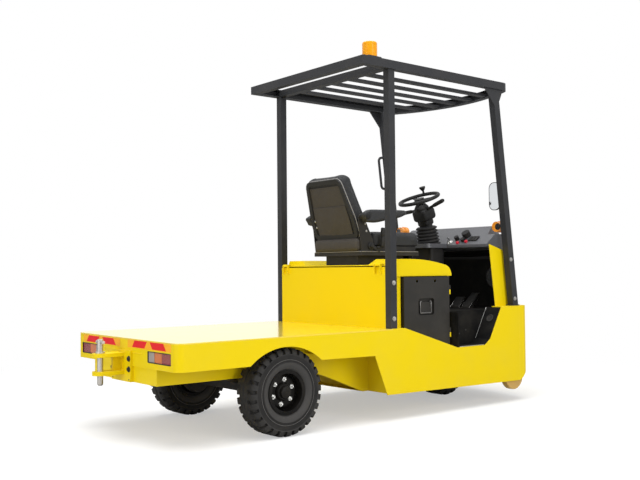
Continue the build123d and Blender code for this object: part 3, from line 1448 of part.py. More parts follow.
os.makedirs("parts", exist_ok=True)
keep(deck_plate(), "deck_plate")
keep(rear_panel(), "rear_panel")
panel = side_panel()
keep(panel, "side_panel_left")
keep(mirror(panel, about=Plane.XZ), "side_panel_right")
keep(nose_panel(), "nose_panel")
keep(ledge(), "nose_ledge")
keep(front_cowl(), "front_cowl")
keep(chassis_frame(), "chassis_frame")
keep(rear_axle(), "rear_axle")
keep(cab_floor(), "cab_floor")
keep(battery_box(), "battery_box")
keep(battery(), "battery")
keep(dash_panel(), "dash_panel")
keep(dash_controls(), "dash_controls")
keep(steering_column(), "steering_column")
keep(column_bellows(), "column_bellows")
keep(steering_wheel(), "steering_wheel")
keep(pedals(), "pedals")
keep(rear_posts(), "rear_posts")
keep(front_posts(), "front_posts")
keep(roof_frame(), "roof_frame")
keep(beacon(), "beacon")
keep(mirror_body(), "mirror_body")
keep(mirror_glass(), "mirror_glass")
keep(turn_lamps(), "turn_lamps")
keep(turn_lamp_housings(), "turn_lamp_housings")
keep(headlamps(), "headlamps")
keep(tail_lamp_housings(), "tail_lamp_housings")
keep(tail_lamp_lenses(), "tail_lamp_lenses")
keep(hitch_bracket(), "hitch_bracket")
keep(tow_pin(), "tow_pin")
keep(hood(), "hood")
keep(seat_base(), "seat_base")
keep(seat_cushion(), "seat_cushion")
keep(seat_back(), "seat_back")
keep(drive_fork(), "drive_fork")
keep(placed_wheel(tyre(FRONT_WHEEL_RADIUS, FRONT_WHEEL_WIDTH), STEER_STATION, 0, FRONT_WHEEL_RADIUS, 1), "front_tyre")
front_rim = rim(AXLE_RADIUS + FIT, -78, 78, -11, False)
keep(placed_wheel(front_rim, STEER_STATION, 0, FRONT_WHEEL_RADIUS, 1), "front_rim")
door = side_door()
for side, sign in SIDES.items():
    y = sign * REAR_TRACK / 2
    rear_tyre = tyre(REAR_WHEEL_RADIUS, REAR_WHEEL_WIDTH)
    rear_rim = rim(SPINDLE_RADIUS + FIT, -60, 34, 2, True)
    keep(placed_wheel(rear_tyre, AXLE_STATION, y, REAR_WHEEL_RADIUS, sign), f"rear_tyre_{side}")
    keep(placed_wheel(rear_rim, AXLE_STATION, y, REAR_WHEEL_RADIUS, sign), f"rear_rim_{side}")
    keep(corner_roller(sign), f"corner_roller_{side}")
    keep(armrest(sign), f"armrest_{side}")
    keep(door if sign < 0 else mirror(door, about=Plane.XZ), f"side_door_{side}")
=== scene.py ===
# %% [markdown]
# # Electric baggage tug with a load deck
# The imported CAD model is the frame: its solids are already in place, in metres, with X forward, Y left
# and Z up. This lesson dresses it. Each cell adds one finish or one kind of piece and lets it ride on the
# body that carries it.

# %% Load the frame
from math import atan2, cos, pi, radians, sin

import bmesh
import bpy
from mathutils import Matrix, Vector


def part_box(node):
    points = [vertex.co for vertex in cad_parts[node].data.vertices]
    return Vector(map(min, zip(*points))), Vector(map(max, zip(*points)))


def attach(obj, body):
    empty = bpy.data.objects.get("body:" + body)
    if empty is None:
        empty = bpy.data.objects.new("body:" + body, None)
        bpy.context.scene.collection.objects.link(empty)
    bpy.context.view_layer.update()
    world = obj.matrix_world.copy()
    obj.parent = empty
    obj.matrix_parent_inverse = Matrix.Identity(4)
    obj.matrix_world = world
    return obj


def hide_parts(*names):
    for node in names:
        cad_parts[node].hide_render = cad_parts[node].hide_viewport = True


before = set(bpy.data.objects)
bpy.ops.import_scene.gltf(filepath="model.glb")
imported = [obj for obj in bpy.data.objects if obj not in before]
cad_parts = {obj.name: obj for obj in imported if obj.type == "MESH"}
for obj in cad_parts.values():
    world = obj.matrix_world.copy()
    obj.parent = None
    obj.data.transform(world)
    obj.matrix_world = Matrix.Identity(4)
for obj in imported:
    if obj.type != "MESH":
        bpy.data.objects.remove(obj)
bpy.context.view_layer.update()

# %% [markdown]
# ## Camera
# The photograph was taken from behind the right rear corner, a little above the deck. The place, the
# angles and the lens come from lining up the body's straight edges, so the camera is set from numbers.

# %% Camera
EYE = Vector((-3.3247, -4.1019, 0.8605))
YAW, PITCH, ROLL = 0.8851, 0.0339, -0.0086
ahead = Vector((cos(YAW) * cos(PITCH), sin(YAW) * cos(PITCH), sin(PITCH)))
level = Vector((sin(YAW), -cos(YAW), 0))
above = level.cross(ahead)
across = level * cos(ROLL) + above * sin(ROLL)
upright = above * cos(ROLL) - level * sin(ROLL)
camera = bpy.data.objects.new("camera", bpy.data.cameras.new("camera"))
camera.data.lens = 48.66
camera.data.sensor_width = 36
camera.data.sensor_fit = "HORIZONTAL"
camera.matrix_world = Matrix.Translation(EYE) @ Matrix((across, upright, -ahead)).transposed().to_4x4()
bpy.context.collection.objects.link(camera)
bpy.context.scene.camera = camera
bpy.context.scene.view_settings.view_transform = "Standard"
print("camera at", tuple(EYE))

# %% [markdown]
# ## Light and floor
# A studio shot on white: one wide lamp overhead, a weaker one from the camera's side, a small one that
# lifts the rear end, and a world that looks white to the camera and to glossy paint but lights the object
# only softly. Stronger lamps would whiten the background too, but they would bleach the yellow, so the
# white comes from the world and the floor. The floor keeps the shadow and fades to white.

# %% Lamps
def lamp(name, place, target, size, power):
    """A square area lamp aimed at a point."""
    light = bpy.data.lights.new(name, "AREA")
    light.shape = "SQUARE"
    light.size = size
    light.energy = power
    holder = bpy.data.objects.new(name, light)
    aim = (Vector(target) - Vector(place)).to_track_quat("-Z", "Y")
    holder.matrix_world = Matrix.Translation(place) @ aim.to_matrix().to_4x4()
    bpy.context.collection.objects.link(holder)
    return holder

lamp("overhead", (-0.6, -0.6, 5.2), (0, 0, 0.3), 5.0, 330)
lamp("camera_side", (0.6, -6.0, 2.2), (0.1, 0, 0.7), 3.0, 124)
lamp("rear_side", (-6.0, -1.2, 1.6), (-1.2, 0, 0.5), 2.0, 80)
print("lamps:", [(light.name, light.energy) for light in bpy.data.lights])

# %% White world
def link(tree, a, b):
    """Joins an output socket to an input socket."""
    tree.links.new(a, b)

world = bpy.data.worlds.new("studio")
world.use_nodes = True
bpy.context.scene.world = world
tree = world.node_tree
tree.nodes.clear()
rays = tree.nodes.new("ShaderNodeLightPath")
seen = tree.nodes.new("ShaderNodeMath")
seen.operation = "MAXIMUM"
link(tree, rays.outputs["Is Camera Ray"], seen.inputs[0])
link(tree, rays.outputs["Is Glossy Ray"], seen.inputs[1])
clear_path = tree.nodes.new("ShaderNodeMath")
clear_path.operation = "MAXIMUM"
link(tree, seen.outputs[0], clear_path.inputs[0])
link(tree, rays.outputs["Is Transmission Ray"], clear_path.inputs[1])
soft = tree.nodes.new("ShaderNodeBackground")
soft.inputs["Color"].default_value = (1, 1, 1, 1)
soft.inputs["Strength"].default_value = 0.42
white = tree.nodes.new("ShaderNodeBackground")
white.inputs["Color"].default_value = (1, 1, 1, 1)
white.inputs["Strength"].default_value = 1.0
pick = tree.nodes.new("ShaderNodeMixShader")
link(tree, clear_path.outputs[0], pick.inputs["Fac"])
link(tree, soft.outputs[0], pick.inputs[1])
link(tree, white.outputs[0], pick.inputs[2])
out = tree.nodes.new("ShaderNodeOutputWorld")
link(tree, pick.outputs[0], out.inputs["Surface"])
print("world:", len(tree.nodes), "nodes")

# %% Floor that fades to white
mesh = bmesh.new()
bmesh.ops.create_grid(mesh, x_segments=1, y_segments=1, size=60)
floor_data = bpy.data.meshes.new("floor")
mesh.to_mesh(floor_data)
mesh.free()
floor = bpy.data.objects.new("floor", floor_data)
bpy.context.collection.objects.link(floor)
paper = bpy.data.materials.new("studio floor")
paper.use_nodes = True
tree = paper.node_tree
tree.nodes.clear()
diffuse = tree.nodes.new("ShaderNodeBsdfDiffuse")
diffuse.inputs["Color"].default_value = (0.62, 0.62, 0.62, 1)
glow = tree.nodes.new("ShaderNodeEmission")
glow.inputs["Color"].default_value = (1, 1, 1, 1)
glow.inputs["Strength"].default_value = 0.42
both = tree.nodes.new("ShaderNodeAddShader")
link(tree, diffuse.outputs[0], both.inputs[0])
link(tree, glow.outputs[0], both.inputs[1])
rays = tree.nodes.new("ShaderNodeLightPath")
near = tree.nodes.new("ShaderNodeMixShader")
link(tree, rays.outputs["Is Camera Ray"], near.inputs["Fac"])
link(tree, diffuse.outputs[0], near.inputs[1])
link(tree, both.outputs[0], near.inputs[2])
place = tree.nodes.new("ShaderNodeTexCoord")
far = tree.nodes.new("ShaderNodeVectorMath")
far.operation = "LENGTH"
link(tree, place.outputs["Object"], far.inputs[0])
fade = tree.nodes.new("ShaderNodeMapRange")
fade.inputs["From Min"].default_value = 1.7
fade.inputs["From Max"].default_value = 3.6
link(tree, far.outputs["Value"], fade.inputs["Value"])
open_white = tree.nodes.new("ShaderNodeEmission")
open_white.inputs["Color"].default_value = (1, 1, 1, 1)
open_white.inputs["Strength"].default_value = 1.0
seen_far = tree.nodes.new("ShaderNodeMath")
seen_far.operation = "MULTIPLY"
link(tree, fade.outputs["Result"], seen_far.inputs[0])
link(tree, rays.outputs["Is Camera Ray"], seen_far.inputs[1])
blend = tree.nodes.new("ShaderNodeMixShader")
link(tree, seen_far.outputs[0], blend.inputs["Fac"])
link(tree, near.outputs[0], blend.inputs[1])
link(tree, open_white.outputs[0], blend.inputs[2])
out = tree.nodes.new("ShaderNodeOutputMaterial")
link(tree, blend.outputs[0], out.inputs["Surface"])
floor.data.materials.append(paper)
print(
    "floor fades from", fade.inputs["From Min"].default_value, "to",
    fade.inputs["From Max"].default_value)

# %% [markdown]
# ## Shared effects
# Paint, rubber and moulded plastic all need the same three things: a slow change of tone, a fine grain,
# and edges lightened by a painted highlight, which on dark finishes also stands for rubbed paint. Each is
# a node group with named sockets, built once and set for each finish.

# %% Node group helper
def effect(name, inputs, outputs):
    """A new shader node group with its sockets; returns the group, its input node and its output node."""
    group = bpy.data.node_groups.new(name, "ShaderNodeTree")
    for label, kind, value in inputs:
        socket = group.interface.new_socket(label, in_out="INPUT", socket_type=kind)
        socket.default_value = value
    for label, kind in outputs:
        group.interface.new_socket(label, in_out="OUTPUT", socket_type=kind)
    return group, group.nodes.new("NodeGroupInput"), group.nodes.new("NodeGroupOutput")

def noise(tree, vector, scale, detail=3.0, rough=0.5):
    """A cloudy value; the scale is a number or a socket."""
    node = tree.nodes.new("ShaderNodeTexNoise")
    node.inputs["Detail"].default_value = detail
    node.inputs["Roughness"].default_value = rough
    if hasattr(scale, "node"):
        link(tree, scale, node.inputs["Scale"])
    else:
        node.inputs["Scale"].default_value = scale
    link(tree, vector, node.inputs["Vector"])
    return node.outputs["Fac"]

def spread(tree, value, low, high, to_low=0.0, to_high=1.0):
    """Maps a value from one range to another, clamped."""
    node = tree.nodes.new("ShaderNodeMapRange")
    node.inputs["From Min"].default_value = low
    node.inputs["From Max"].default_value = high
    node.inputs["To Min"].default_value = to_low
    node.inputs["To Max"].default_value = to_high
    link(tree, value, node.inputs["Value"])
    return node.outputs["Result"]

def sums(tree, operation, a, b):
    """One step of arithmetic on two values, each a socket or a number."""
    node = tree.nodes.new("ShaderNodeMath")
    node.operation = operation
    for socket, value in zip(node.inputs, (a, b)):
        if hasattr(value, "node"):
            link(tree, value, socket)
        else:
            socket.default_value = value
    return node.outputs[0]

def mixed(tree, factor, a, b):
    """Mix of two colours, each a socket or four numbers."""
    node = tree.nodes.new("ShaderNodeMix")
    node.data_type = "RGBA"
    for label, value in (("Factor", factor), ("A", a), ("B", b)):
        socket = [s for s in node.inputs if s.name == label and s.enabled][0]
        if hasattr(value, "node"):
            link(tree, value, socket)
        else:
            socket.default_value = value
    return [s for s in node.outputs if s.enabled][0]

# %% Tone: dust low down, cloudy change of colour, duller patches
tone, given, made = effect(
    "tone",
    [("Colour", "NodeSocketColor", (0.5, 0.5, 0.5, 1)), ("Dust", "NodeSocketColor", (0.35, 0.32, 0.27, 1)),
     ("Dust Amount", "NodeSocketFloat", 0.1), ("Scale", "NodeSocketFloat", 6.0),
     ("Roughness", "NodeSocketFloat", 0.4), ("Spread", "NodeSocketFloat", 0.1)],
    [("Colour", "NodeSocketColor"), ("Roughness", "NodeSocketFloat")])
where = tone.nodes.new("ShaderNodeTexCoord").outputs["Object"]
cloud = noise(tone, where, given.outputs["Scale"], 5.0, 0.6)
split = tone.nodes.new("ShaderNodeSeparateXYZ")
link(tone, where, split.inputs[0])
low_down = spread(tone, split.outputs["Z"], 0.0, 0.75, 1.0, 0.25)
clouded = sums(tone, "MULTIPLY", spread(tone, cloud, 0.42, 0.72), low_down)
dusty = sums(tone, "MULTIPLY", clouded, given.outputs["Dust Amount"])
link(tone, mixed(tone, dusty, given.outputs["Colour"], given.outputs["Dust"]), made.inputs["Colour"])
fine = noise(tone, where, 38.0, 3.0, 0.6)
duller = sums(tone, "MULTIPLY", sums(tone, "SUBTRACT", fine, 0.5), given.outputs["Spread"])
uneven = sums(tone, "ADD", given.outputs["Roughness"], duller)
link(tone, sums(tone, "ADD", uneven, dusty), made.inputs["Roughness"])
print("tone:", [socket.name for socket in given.outputs if socket.name])

# %% Grain: the height of moulded or sprayed surfaces
grain, given, made = effect(
    "grain",
    [("Scale", "NodeSocketFloat", 400.0), ("Cells", "NodeSocketFloat", 0.0)],
    [("Height", "NodeSocketFloat")])
where = grain.nodes.new("ShaderNodeTexCoord").outputs["Object"]
speck = noise(grain, where, given.outputs["Scale"], 2.0, 0.6)
cell = grain.nodes.new("ShaderNodeTexVoronoi")
cell.feature = "DISTANCE_TO_EDGE"
link(grain, where, cell.inputs["Vector"])
link(grain, given.outputs["Scale"], cell.inputs["Scale"])
creased = spread(grain, cell.outputs["Distance"], 0.0, 0.22)
kept = sums(grain, "MULTIPLY", creased, given.outputs["Cells"])
link(grain, sums(grain, "ADD", sums(grain, "MULTIPLY", speck, 0.5), kept), made.inputs["Height"])
print("grain:", [socket.name for socket in given.outputs if socket.name])

# %% Edges: where a rounded corner turns away from the flat, a mask for a painted highlight and rubbed paint
edges, given, made = effect(
    "edges",
    [("Width", "NodeSocketFloat", 0.003), ("Breakup", "NodeSocketFloat", 0.6)],
    [("Mask", "NodeSocketFloat"), ("Normal", "NodeSocketVector")])
soft_edge = edges.nodes.new("ShaderNodeBevel")
soft_edge.samples = 4
link(edges, given.outputs["Width"], soft_edge.inputs["Radius"])
flat = edges.nodes.new("ShaderNodeNewGeometry")
match = edges.nodes.new("ShaderNodeVectorMath")
match.operation = "DOT_PRODUCT"
link(edges, soft_edge.outputs["Normal"], match.inputs[0])
link(edges, flat.outputs["Normal"], match.inputs[1])
turned_away = spread(edges, match.outputs["Value"], 0.97, 0.8)
where = edges.nodes.new("ShaderNodeTexCoord").outputs["Object"]
patchy = spread(edges, noise(edges, where, 45.0, 4.0, 0.65), 0.45, 0.62)
gaps = sums(edges, "MULTIPLY", given.outputs["Breakup"], sums(edges, "SUBTRACT", 1.0, patchy))
link(edges, sums(edges, "MULTIPLY", turned_away, sums(edges, "SUBTRACT", 1.0, gaps)), made.inputs["Mask"])
link(edges, soft_edge.outputs["Normal"], made.inputs["Normal"])
print("effects:", [g.name for g in bpy.data.node_groups])

# %% [markdown]
# ## Finishes
# The tug is sprayed steel, powder coated tube, rubber and moulded plastic. Each could have its own shader
# from scratch, but one function that wires the shared effects into a Principled shader keeps them alike.
# What differs between them is only numbers: the colour, how dull it is, how coarse the grain, how far
# edges are lightened by painted highlight and wear.

# %% Finish helper
def finish(name, colour, rough=0.4, dust=0.1, grains=(400.0, 0.0, 0.05), metal=0.0, coat=0.0,
           edge_highlight_and_wear=None, edge=0.002, tone_scale=6.0, rough_spread=0.12, dust_colour=(0.36, 0.32, 0.26, 1),
           shine=0.2):
    """A material: tone for colour and roughness, grain for height, and edges lightened by a painted
    highlight and wear.
    """
    made = bpy.data.materials.new(name)
    made.use_nodes = True
    tree = made.node_tree
    shader = tree.nodes["Principled BSDF"]
    shader.inputs["Metallic"].default_value = metal
    shader.inputs["Coat Weight"].default_value = coat
    shader.inputs["Coat Roughness"].default_value = 0.12
    shader.inputs["Specular IOR Level"].default_value = shine
    shade = tree.nodes.new("ShaderNodeGroup")
    shade.node_tree = tone
    shade.inputs["Colour"].default_value = (*colour, 1)
    shade.inputs["Dust"].default_value = dust_colour
    shade.inputs["Dust Amount"].default_value = dust
    shade.inputs["Scale"].default_value = tone_scale
    shade.inputs["Roughness"].default_value = rough
    shade.inputs["Spread"].default_value = rough_spread
    edge_light_and_wear = tree.nodes.new("ShaderNodeGroup")
    edge_light_and_wear.node_tree = edges
    edge_light_and_wear.inputs["Width"].default_value = edge
    colour_out = shade.outputs["Colour"]
    if edge_highlight_and_wear:
        colour_out = mixed(tree, edge_light_and_wear.outputs["Mask"], colour_out, (*edge_highlight_and_wear, 1))
    link(tree, colour_out, shader.inputs["Base Color"])
    link(tree, shade.outputs["Roughness"], shader.inputs["Roughness"])
    surface = tree.nodes.new("ShaderNodeGroup")
    surface.node_tree = grain
    surface.inputs["Scale"].default_value = grains[0]
    surface.inputs["Cells"].default_value = grains[1]
    bump = tree.nodes.new("ShaderNodeBump")
    bump.inputs["Strength"].default_value = grains[2]
    bump.inputs["Distance"].default_value = 0.001
    link(tree, surface.outputs["Height"], bump.inputs["Height"])
    link(tree, edge_light_and_wear.outputs["Normal"], bump.inputs["Normal"])
    link(tree, bump.outputs["Normal"], shader.inputs["Normal"])
    return made

# %% Paints
# Each lighter edge colour is a painted highlight; on the dark finishes it also stands for rubbed paint.
yellow = finish(
    "yellow enamel", (0.82, 0.612, 0.002), rough=0.38, dust=0.06, grains=(260.0, 0.0, 0.04),
    shine=0.12, edge_highlight_and_wear=(0.97, 0.74, 0.08), edge=0.003, rough_spread=0.08)
# The deck is the body's enamel; its lighter base and edge colours are painted light for the glare on its
# top, the coat a real gloss.
deck_yellow_lit = finish(
    "deck yellow lightened by painted glare", (0.88, 0.66, 0.02), rough=0.30, dust=0.04, grains=(260.0, 0.0, 0.03),
    coat=0.9, shine=0.8, edge_highlight_and_wear=(0.97, 0.80, 0.10), edge=0.003, rough_spread=0.05)
charcoal = finish(
    "charcoal powder coat", (0.026, 0.027, 0.030), rough=0.46, dust=0.10, grains=(900.0, 0.0, 0.14),
    edge_highlight_and_wear=(0.09, 0.09, 0.095), edge=0.002)
black_paint = finish(
    "black enamel", (0.004, 0.0037, 0.0034), rough=0.36, dust=0.05, shine=0.10,
    grains=(300.0, 0.0, 0.06), edge_highlight_and_wear=(0.07, 0.07, 0.07), edge=0.002)
black_steel = finish(
    "black primed steel", (0.022, 0.021, 0.020), rough=0.55, dust=0.22, grains=(500.0, 0.0, 0.2),
    edge_highlight_and_wear=(0.10, 0.09, 0.085), edge=0.002)
door_paint = finish(
    "dark door paint", (0.023, 0.0215, 0.019), rough=0.50, dust=0.10, grains=(1100.0, 0.0, 0.25),
    edge_highlight_and_wear=(0.08, 0.078, 0.07), edge=0.002)
print("paints:", len(bpy.data.materials) - 1)

# %% Plastics, rubber and cover
black_plastic = finish(
    "black moulded plastic", (0.012, 0.012, 0.0125), rough=0.52, dust=0.14,
    grains=(1300.0, 0.6, 0.22), edge=0.0015)
# Black of the footwell floor; the same black on the liner sheets over the cowl's inside is painted shade.
footwell_black_and_shade = finish(
    "black footwell floor and painted shade", (0.005, 0.005, 0.005), rough=0.7, dust=0.10, grains=(900.0, 0.4, 0.2),
    edge=0.0015, shine=0.08)
dash_plastic = finish(
    "dark grey dash plastic", (0.085, 0.088, 0.098), rough=0.34, shine=0.5, coat=0.2, dust=0.08,
    grains=(1300.0, 0.8, 0.25), edge=0.002)
soft_rubber = finish(
    "soft rubber", (0.020, 0.020, 0.021), rough=0.62, dust=0.15, grains=(700.0, 0.0, 0.12), edge=0.001)
tyre_rubber = finish(
    "tyre rubber", (0.017, 0.0155, 0.0145), rough=0.66, dust=0.30, grains=(520.0, 0.3, 0.25),
    edge=0.0015, tone_scale=9.0, rough_spread=0.2)
vinyl = finish(
    "black vinyl", (0.028, 0.029, 0.031), rough=0.44, dust=0.05, grains=(620.0, 1.0, 0.35), edge=0.001)
# The rollers are body yellow; this darker tan is that yellow in painted shade under the body.
roller_yellow_in_shade = finish(
    "roller yellow darkened by painted shade", (0.62, 0.38, 0.10), rough=0.5, dust=0.3, grains=(500.0, 0.0, 0.15),
    edge=0.002)
steel = finish(
    "worn steel", (0.50, 0.48, 0.45), rough=0.36, dust=0.25, grains=(350.0, 0.0, 0.15), metal=1.0,
    edge=0.001, dust_colour=(0.20, 0.17, 0.14, 1))
bright_steel = finish(
    "plated steel", (0.72, 0.72, 0.70), rough=0.24, dust=0.05, grains=(500.0, 0.0, 0.05), metal=1.0,
    edge=0.0006)
aluminium = finish(
    "tread edge aluminium", (0.62, 0.62, 0.60), rough=0.38, dust=0.12, grains=(300.0, 0.0, 0.1),
    metal=1.0, edge=0.001)
print("finishes so far:", len(bpy.data.materials))

# %% [markdown]
# ## Lenses
# Lamp lenses are clear or coloured plastic with fine ribs moulded inside. Real ones scatter light in
# their depth; a coloured, glossy surface with a ribbed bump and a faint painted glow in place of that
# scattered light reads the same from two metres away.

# %% Lens finish
AMBER = (0.86, 0.30, 0.015)
BLACK = (0.012, 0.012, 0.012, 1)

def lens(name, colour, ribs=260.0, glow=0.0, gloss=0.6):
    """A coloured lens with moulded ribs both ways and, where wanted, a faint painted glow of its own."""
    made = bpy.data.materials.new(name)
    made.use_nodes = True
    tree = made.node_tree
    shader = tree.nodes["Principled BSDF"]
    shader.inputs["Base Color"].default_value = (*colour, 1)
    shader.inputs["Roughness"].default_value = 0.16
    shader.inputs["Coat Weight"].default_value = gloss
    shader.inputs["Coat Roughness"].default_value = 0.06
    where = tree.nodes.new("ShaderNodeTexCoord").outputs["Object"]
    split = tree.nodes.new("ShaderNodeSeparateXYZ")
    link(tree, where, split.inputs[0])
    wave = sums(tree, "SINE", sums(tree, "MULTIPLY", split.outputs["Y"], ribs * 4), 0.0)
    cross = sums(tree, "SINE", sums(tree, "MULTIPLY", split.outputs["Z"], ribs * 4), 0.0)
    bump = tree.nodes.new("ShaderNodeBump")
    bump.inputs["Strength"].default_value = 0.35
    bump.inputs["Distance"].default_value = 0.0008
    link(tree, sums(tree, "ADD", wave, cross), bump.inputs["Height"])
    link(tree, bump.outputs["Normal"], shader.inputs["Normal"])
    if glow:
        shader.inputs["Emission Color"].default_value = (*colour, 1)
        shader.inputs["Emission Strength"].default_value = glow
    return made

# The faint emission of the unlit amber lenses and beacon is a painted glow for light scattered in the
# plastic.
amber = lens("amber lens", AMBER, 180.0, 0.12)
clear = lens("clear lens", (0.62, 0.62, 0.60))
beacon_lens = lens("beacon lens", (0.76, 0.31, 0.005), 180.0, 0.05, 0.05)
beacon_lens.node_tree.nodes["Principled BSDF"].inputs["Specular IOR Level"].default_value = 0.15

# %% Turn lamp shell: amber with a round black back
LAMP_Y = 0.461
LAMP_Z = 1.130
LAMP_BACK = 0.022
lamp_shell = lens("amber lamp with a black back", AMBER, 180.0, 0.10)
tree = lamp_shell.node_tree
split = [n for n in tree.nodes if n.bl_idname == "ShaderNodeSeparateXYZ"][0]
aside = sums(tree, "SUBTRACT", sums(tree, "ABSOLUTE", split.outputs["Y"], 0.0), LAMP_Y)
lifted = sums(tree, "SUBTRACT", split.outputs["Z"], LAMP_Z)
squares = sums(tree, "ADD", sums(tree, "MULTIPLY", aside, aside), sums(tree, "MULTIPLY", lifted, lifted))
backed = sums(tree, "LESS_THAN", sums(tree, "SQRT", squares, 0.0), LAMP_BACK)
shader = tree.nodes["Principled BSDF"]
link(tree, mixed(tree, backed, (*AMBER, 1), BLACK), shader.inputs["Base Color"])
shader.inputs["Emission Strength"].default_value = 0.0
print("turn lamp shell ready")

# %% Tail lens: clear, amber and red by the distance from the middle
tail_lens = lens("tail lens", (0.5, 0.02, 0.02), 300.0)
tree = tail_lens.node_tree
shader = tree.nodes["Principled BSDF"]
split = [n for n in tree.nodes if n.bl_idname == "ShaderNodeSeparateXYZ"][0]
outward = sums(tree, "ABSOLUTE", split.outputs["Y"], 0.0)
low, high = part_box("tail_lamp_lenses")
INNER = 0.267
LENGTH = high[1] - INNER
bands = tree.nodes.new("ShaderNodeValToRGB")
bands.color_ramp.interpolation = "CONSTANT"
bands.color_ramp.elements[0].color = (0.34, 0.30, 0.28, 1)
bands.color_ramp.elements[1].position = 0.27
bands.color_ramp.elements[1].color = (0.62, 0.14, 0.02, 1)
red_band = bands.color_ramp.elements.new(0.60)
red_band.color = (0.26, 0.012, 0.018, 1)
link(tree, spread(tree, outward, INNER, INNER + LENGTH), bands.inputs["Fac"])
link(tree, bands.outputs["Color"], shader.inputs["Base Color"])
print("tail lens from", INNER, "to", round(high[1], 3))

# %% Mirror glass
mirror_glass = bpy.data.materials.new("mirror glass")
mirror_glass.use_nodes = True
shader = mirror_glass.node_tree.nodes["Principled BSDF"]
shader.inputs["Base Color"].default_value = (0.72, 0.74, 0.76, 1)
shader.inputs["Metallic"].default_value = 1.0
shader.inputs["Roughness"].default_value = 0.05
print("materials:", len(bpy.data.materials))

# %% [markdown]
# ## Dressing the CAD nodes
# Most sheet metal, frames and castings already have their true shape in the CAD, so they only need the
# finish. A dictionary from finish to nodes shows at a glance what is made of what, and the last line
# tells which nodes were forgotten.

# %% Finishes on nodes
dressed = {
    deck_yellow_lit: ["deck_plate"],
    yellow: ["rear_panel", "side_panel_left", "side_panel_right", "nose_panel", "nose_ledge",
             "front_cowl", "chassis_frame", "battery_box", "hood", "hitch_bracket"],
    charcoal: ["rear_posts", "front_posts", "roof_frame"],
    black_paint: ["rear_rim_left", "rear_rim_right", "front_rim"],
    black_steel: ["rear_axle", "drive_fork", "seat_base", "pedals"],
    door_paint: ["side_door_left", "side_door_right"],
    footwell_black_and_shade: ["cab_floor"],
    black_plastic: ["battery", "dash_controls", "steering_column", "steering_wheel", "mirror_body",
                    "tail_lamp_housings"],
    lamp_shell: ["turn_lamp_housings"],
    dash_plastic: ["dash_panel"],
    soft_rubber: ["column_bellows"],
    tyre_rubber: ["rear_tyre_left", "rear_tyre_right", "front_tyre"],
    vinyl: ["seat_cushion", "seat_back", "armrest_left", "armrest_right"],
    roller_yellow_in_shade: ["corner_roller_left", "corner_roller_right"],
    steel: ["tow_pin"],
    amber: ["turn_lamps"],
    beacon_lens: ["beacon"],
    clear: ["headlamps"],
    tail_lens: ["tail_lamp_lenses"],
    mirror_glass: ["mirror_glass"],
}
for coat, names in dressed.items():
    for name in names:
        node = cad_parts[name]
        for slot in node.material_slots:
            slot.material = coat
left_bare = set(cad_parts) - {name for names in dressed.values() for name in names}
print("nodes dressed:", sum(len(names) for names in dressed.values()), "left bare:", left_bare)

# %% [markdown]
# ## Small shapes in mesh code
# Bolts, tapes, pads and strips share a few operators: a box with broken edges, a turned disc, a plate
# with round corners. They could be primitives with modifiers, but a helper that adds to a mesh lets a
# whole row of bolts become one piece with one finish.

def carried(made, body):
    """Rides a piece on its body."""
    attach(made, body)

# %% Mesh helpers
def shown(name, mesh, body, coat, sharp=32.0):
    """Turns a bmesh into a smooth-shaded piece that rides on a body."""
    bmesh.ops.recalc_face_normals(mesh, faces=mesh.faces)
    data = bpy.data.meshes.new(name)
    mesh.to_mesh(data)
    mesh.free()
    data.shade_smooth()
    data.set_sharp_from_angle(angle=radians(sharp))
    data.materials.append(coat)
    made = bpy.data.objects.new(name, data)
    bpy.context.collection.objects.link(made)
    carried(made, body)
    return made

def edges_of(verts):
    """Every edge that meets one of these vertices, once."""
    return list({edge for vert in verts for edge in vert.link_edges})

def broken(mesh, verts, width, rounds=2):
    """Rounds all the edges between these vertices."""
    made = bmesh.ops.bevel(mesh, geom=edges_of(verts), offset=width, segments=rounds, profile=0.5,
                           affect="EDGES", material=-1)
    return made["verts"]

def block(mesh, size, place, turn=Matrix(), edge=0.001, rounds=2):
    """A box with rounded edges, its middle at a place."""
    spot = Matrix.Translation(place) @ turn @ Matrix.Diagonal((*size, 1))
    made = bmesh.ops.create_cube(mesh, size=1, matrix=spot)
    return broken(mesh, made["verts"], edge, rounds)

def turned(mesh, place, axis, steps, sides=32):
    """Rings stacked along an axis: each step is a radius and how far along the axis it lies."""
    facing = Matrix.Translation(place) @ Vector(axis).to_track_quat("Z", "Y").to_matrix().to_4x4()
    line = [mesh.verts.new(facing @ Vector((radius, 0, along))) for radius, along in steps]
    edges = [mesh.edges.new(pair) for pair in zip(line, line[1:])]
    bmesh.ops.spin(mesh, geom=line + edges, cent=place, axis=(facing.to_3x3() @ Vector((0, 0, 1))),
                   angle=2 * pi, steps=sides, use_merge=True)
    bmesh.ops.remove_doubles(mesh, verts=mesh.verts, dist=0.00001)

def bolt(mesh, place, axis, radius):
    """A washer under a hexagon head with a broken top edge."""
    outward = Vector(axis).normalized()
    facing = outward.to_track_quat("Z", "Y").to_matrix().to_4x4()
    for sides, wide, tall, base in ((24, 1.45, 0.22, 0.0), (6, 1.0, 0.62, 0.22)):
        middle = Vector(place) + outward * radius * (base + tall / 2)
        spot = Matrix.Translation(middle) @ facing
        made = bmesh.ops.create_cone(mesh, cap_ends=True, segments=sides, radius1=radius * wide,
                                     radius2=radius * wide, depth=radius * tall, matrix=spot)
        broken(mesh, made["verts"], radius * 0.07, 1)

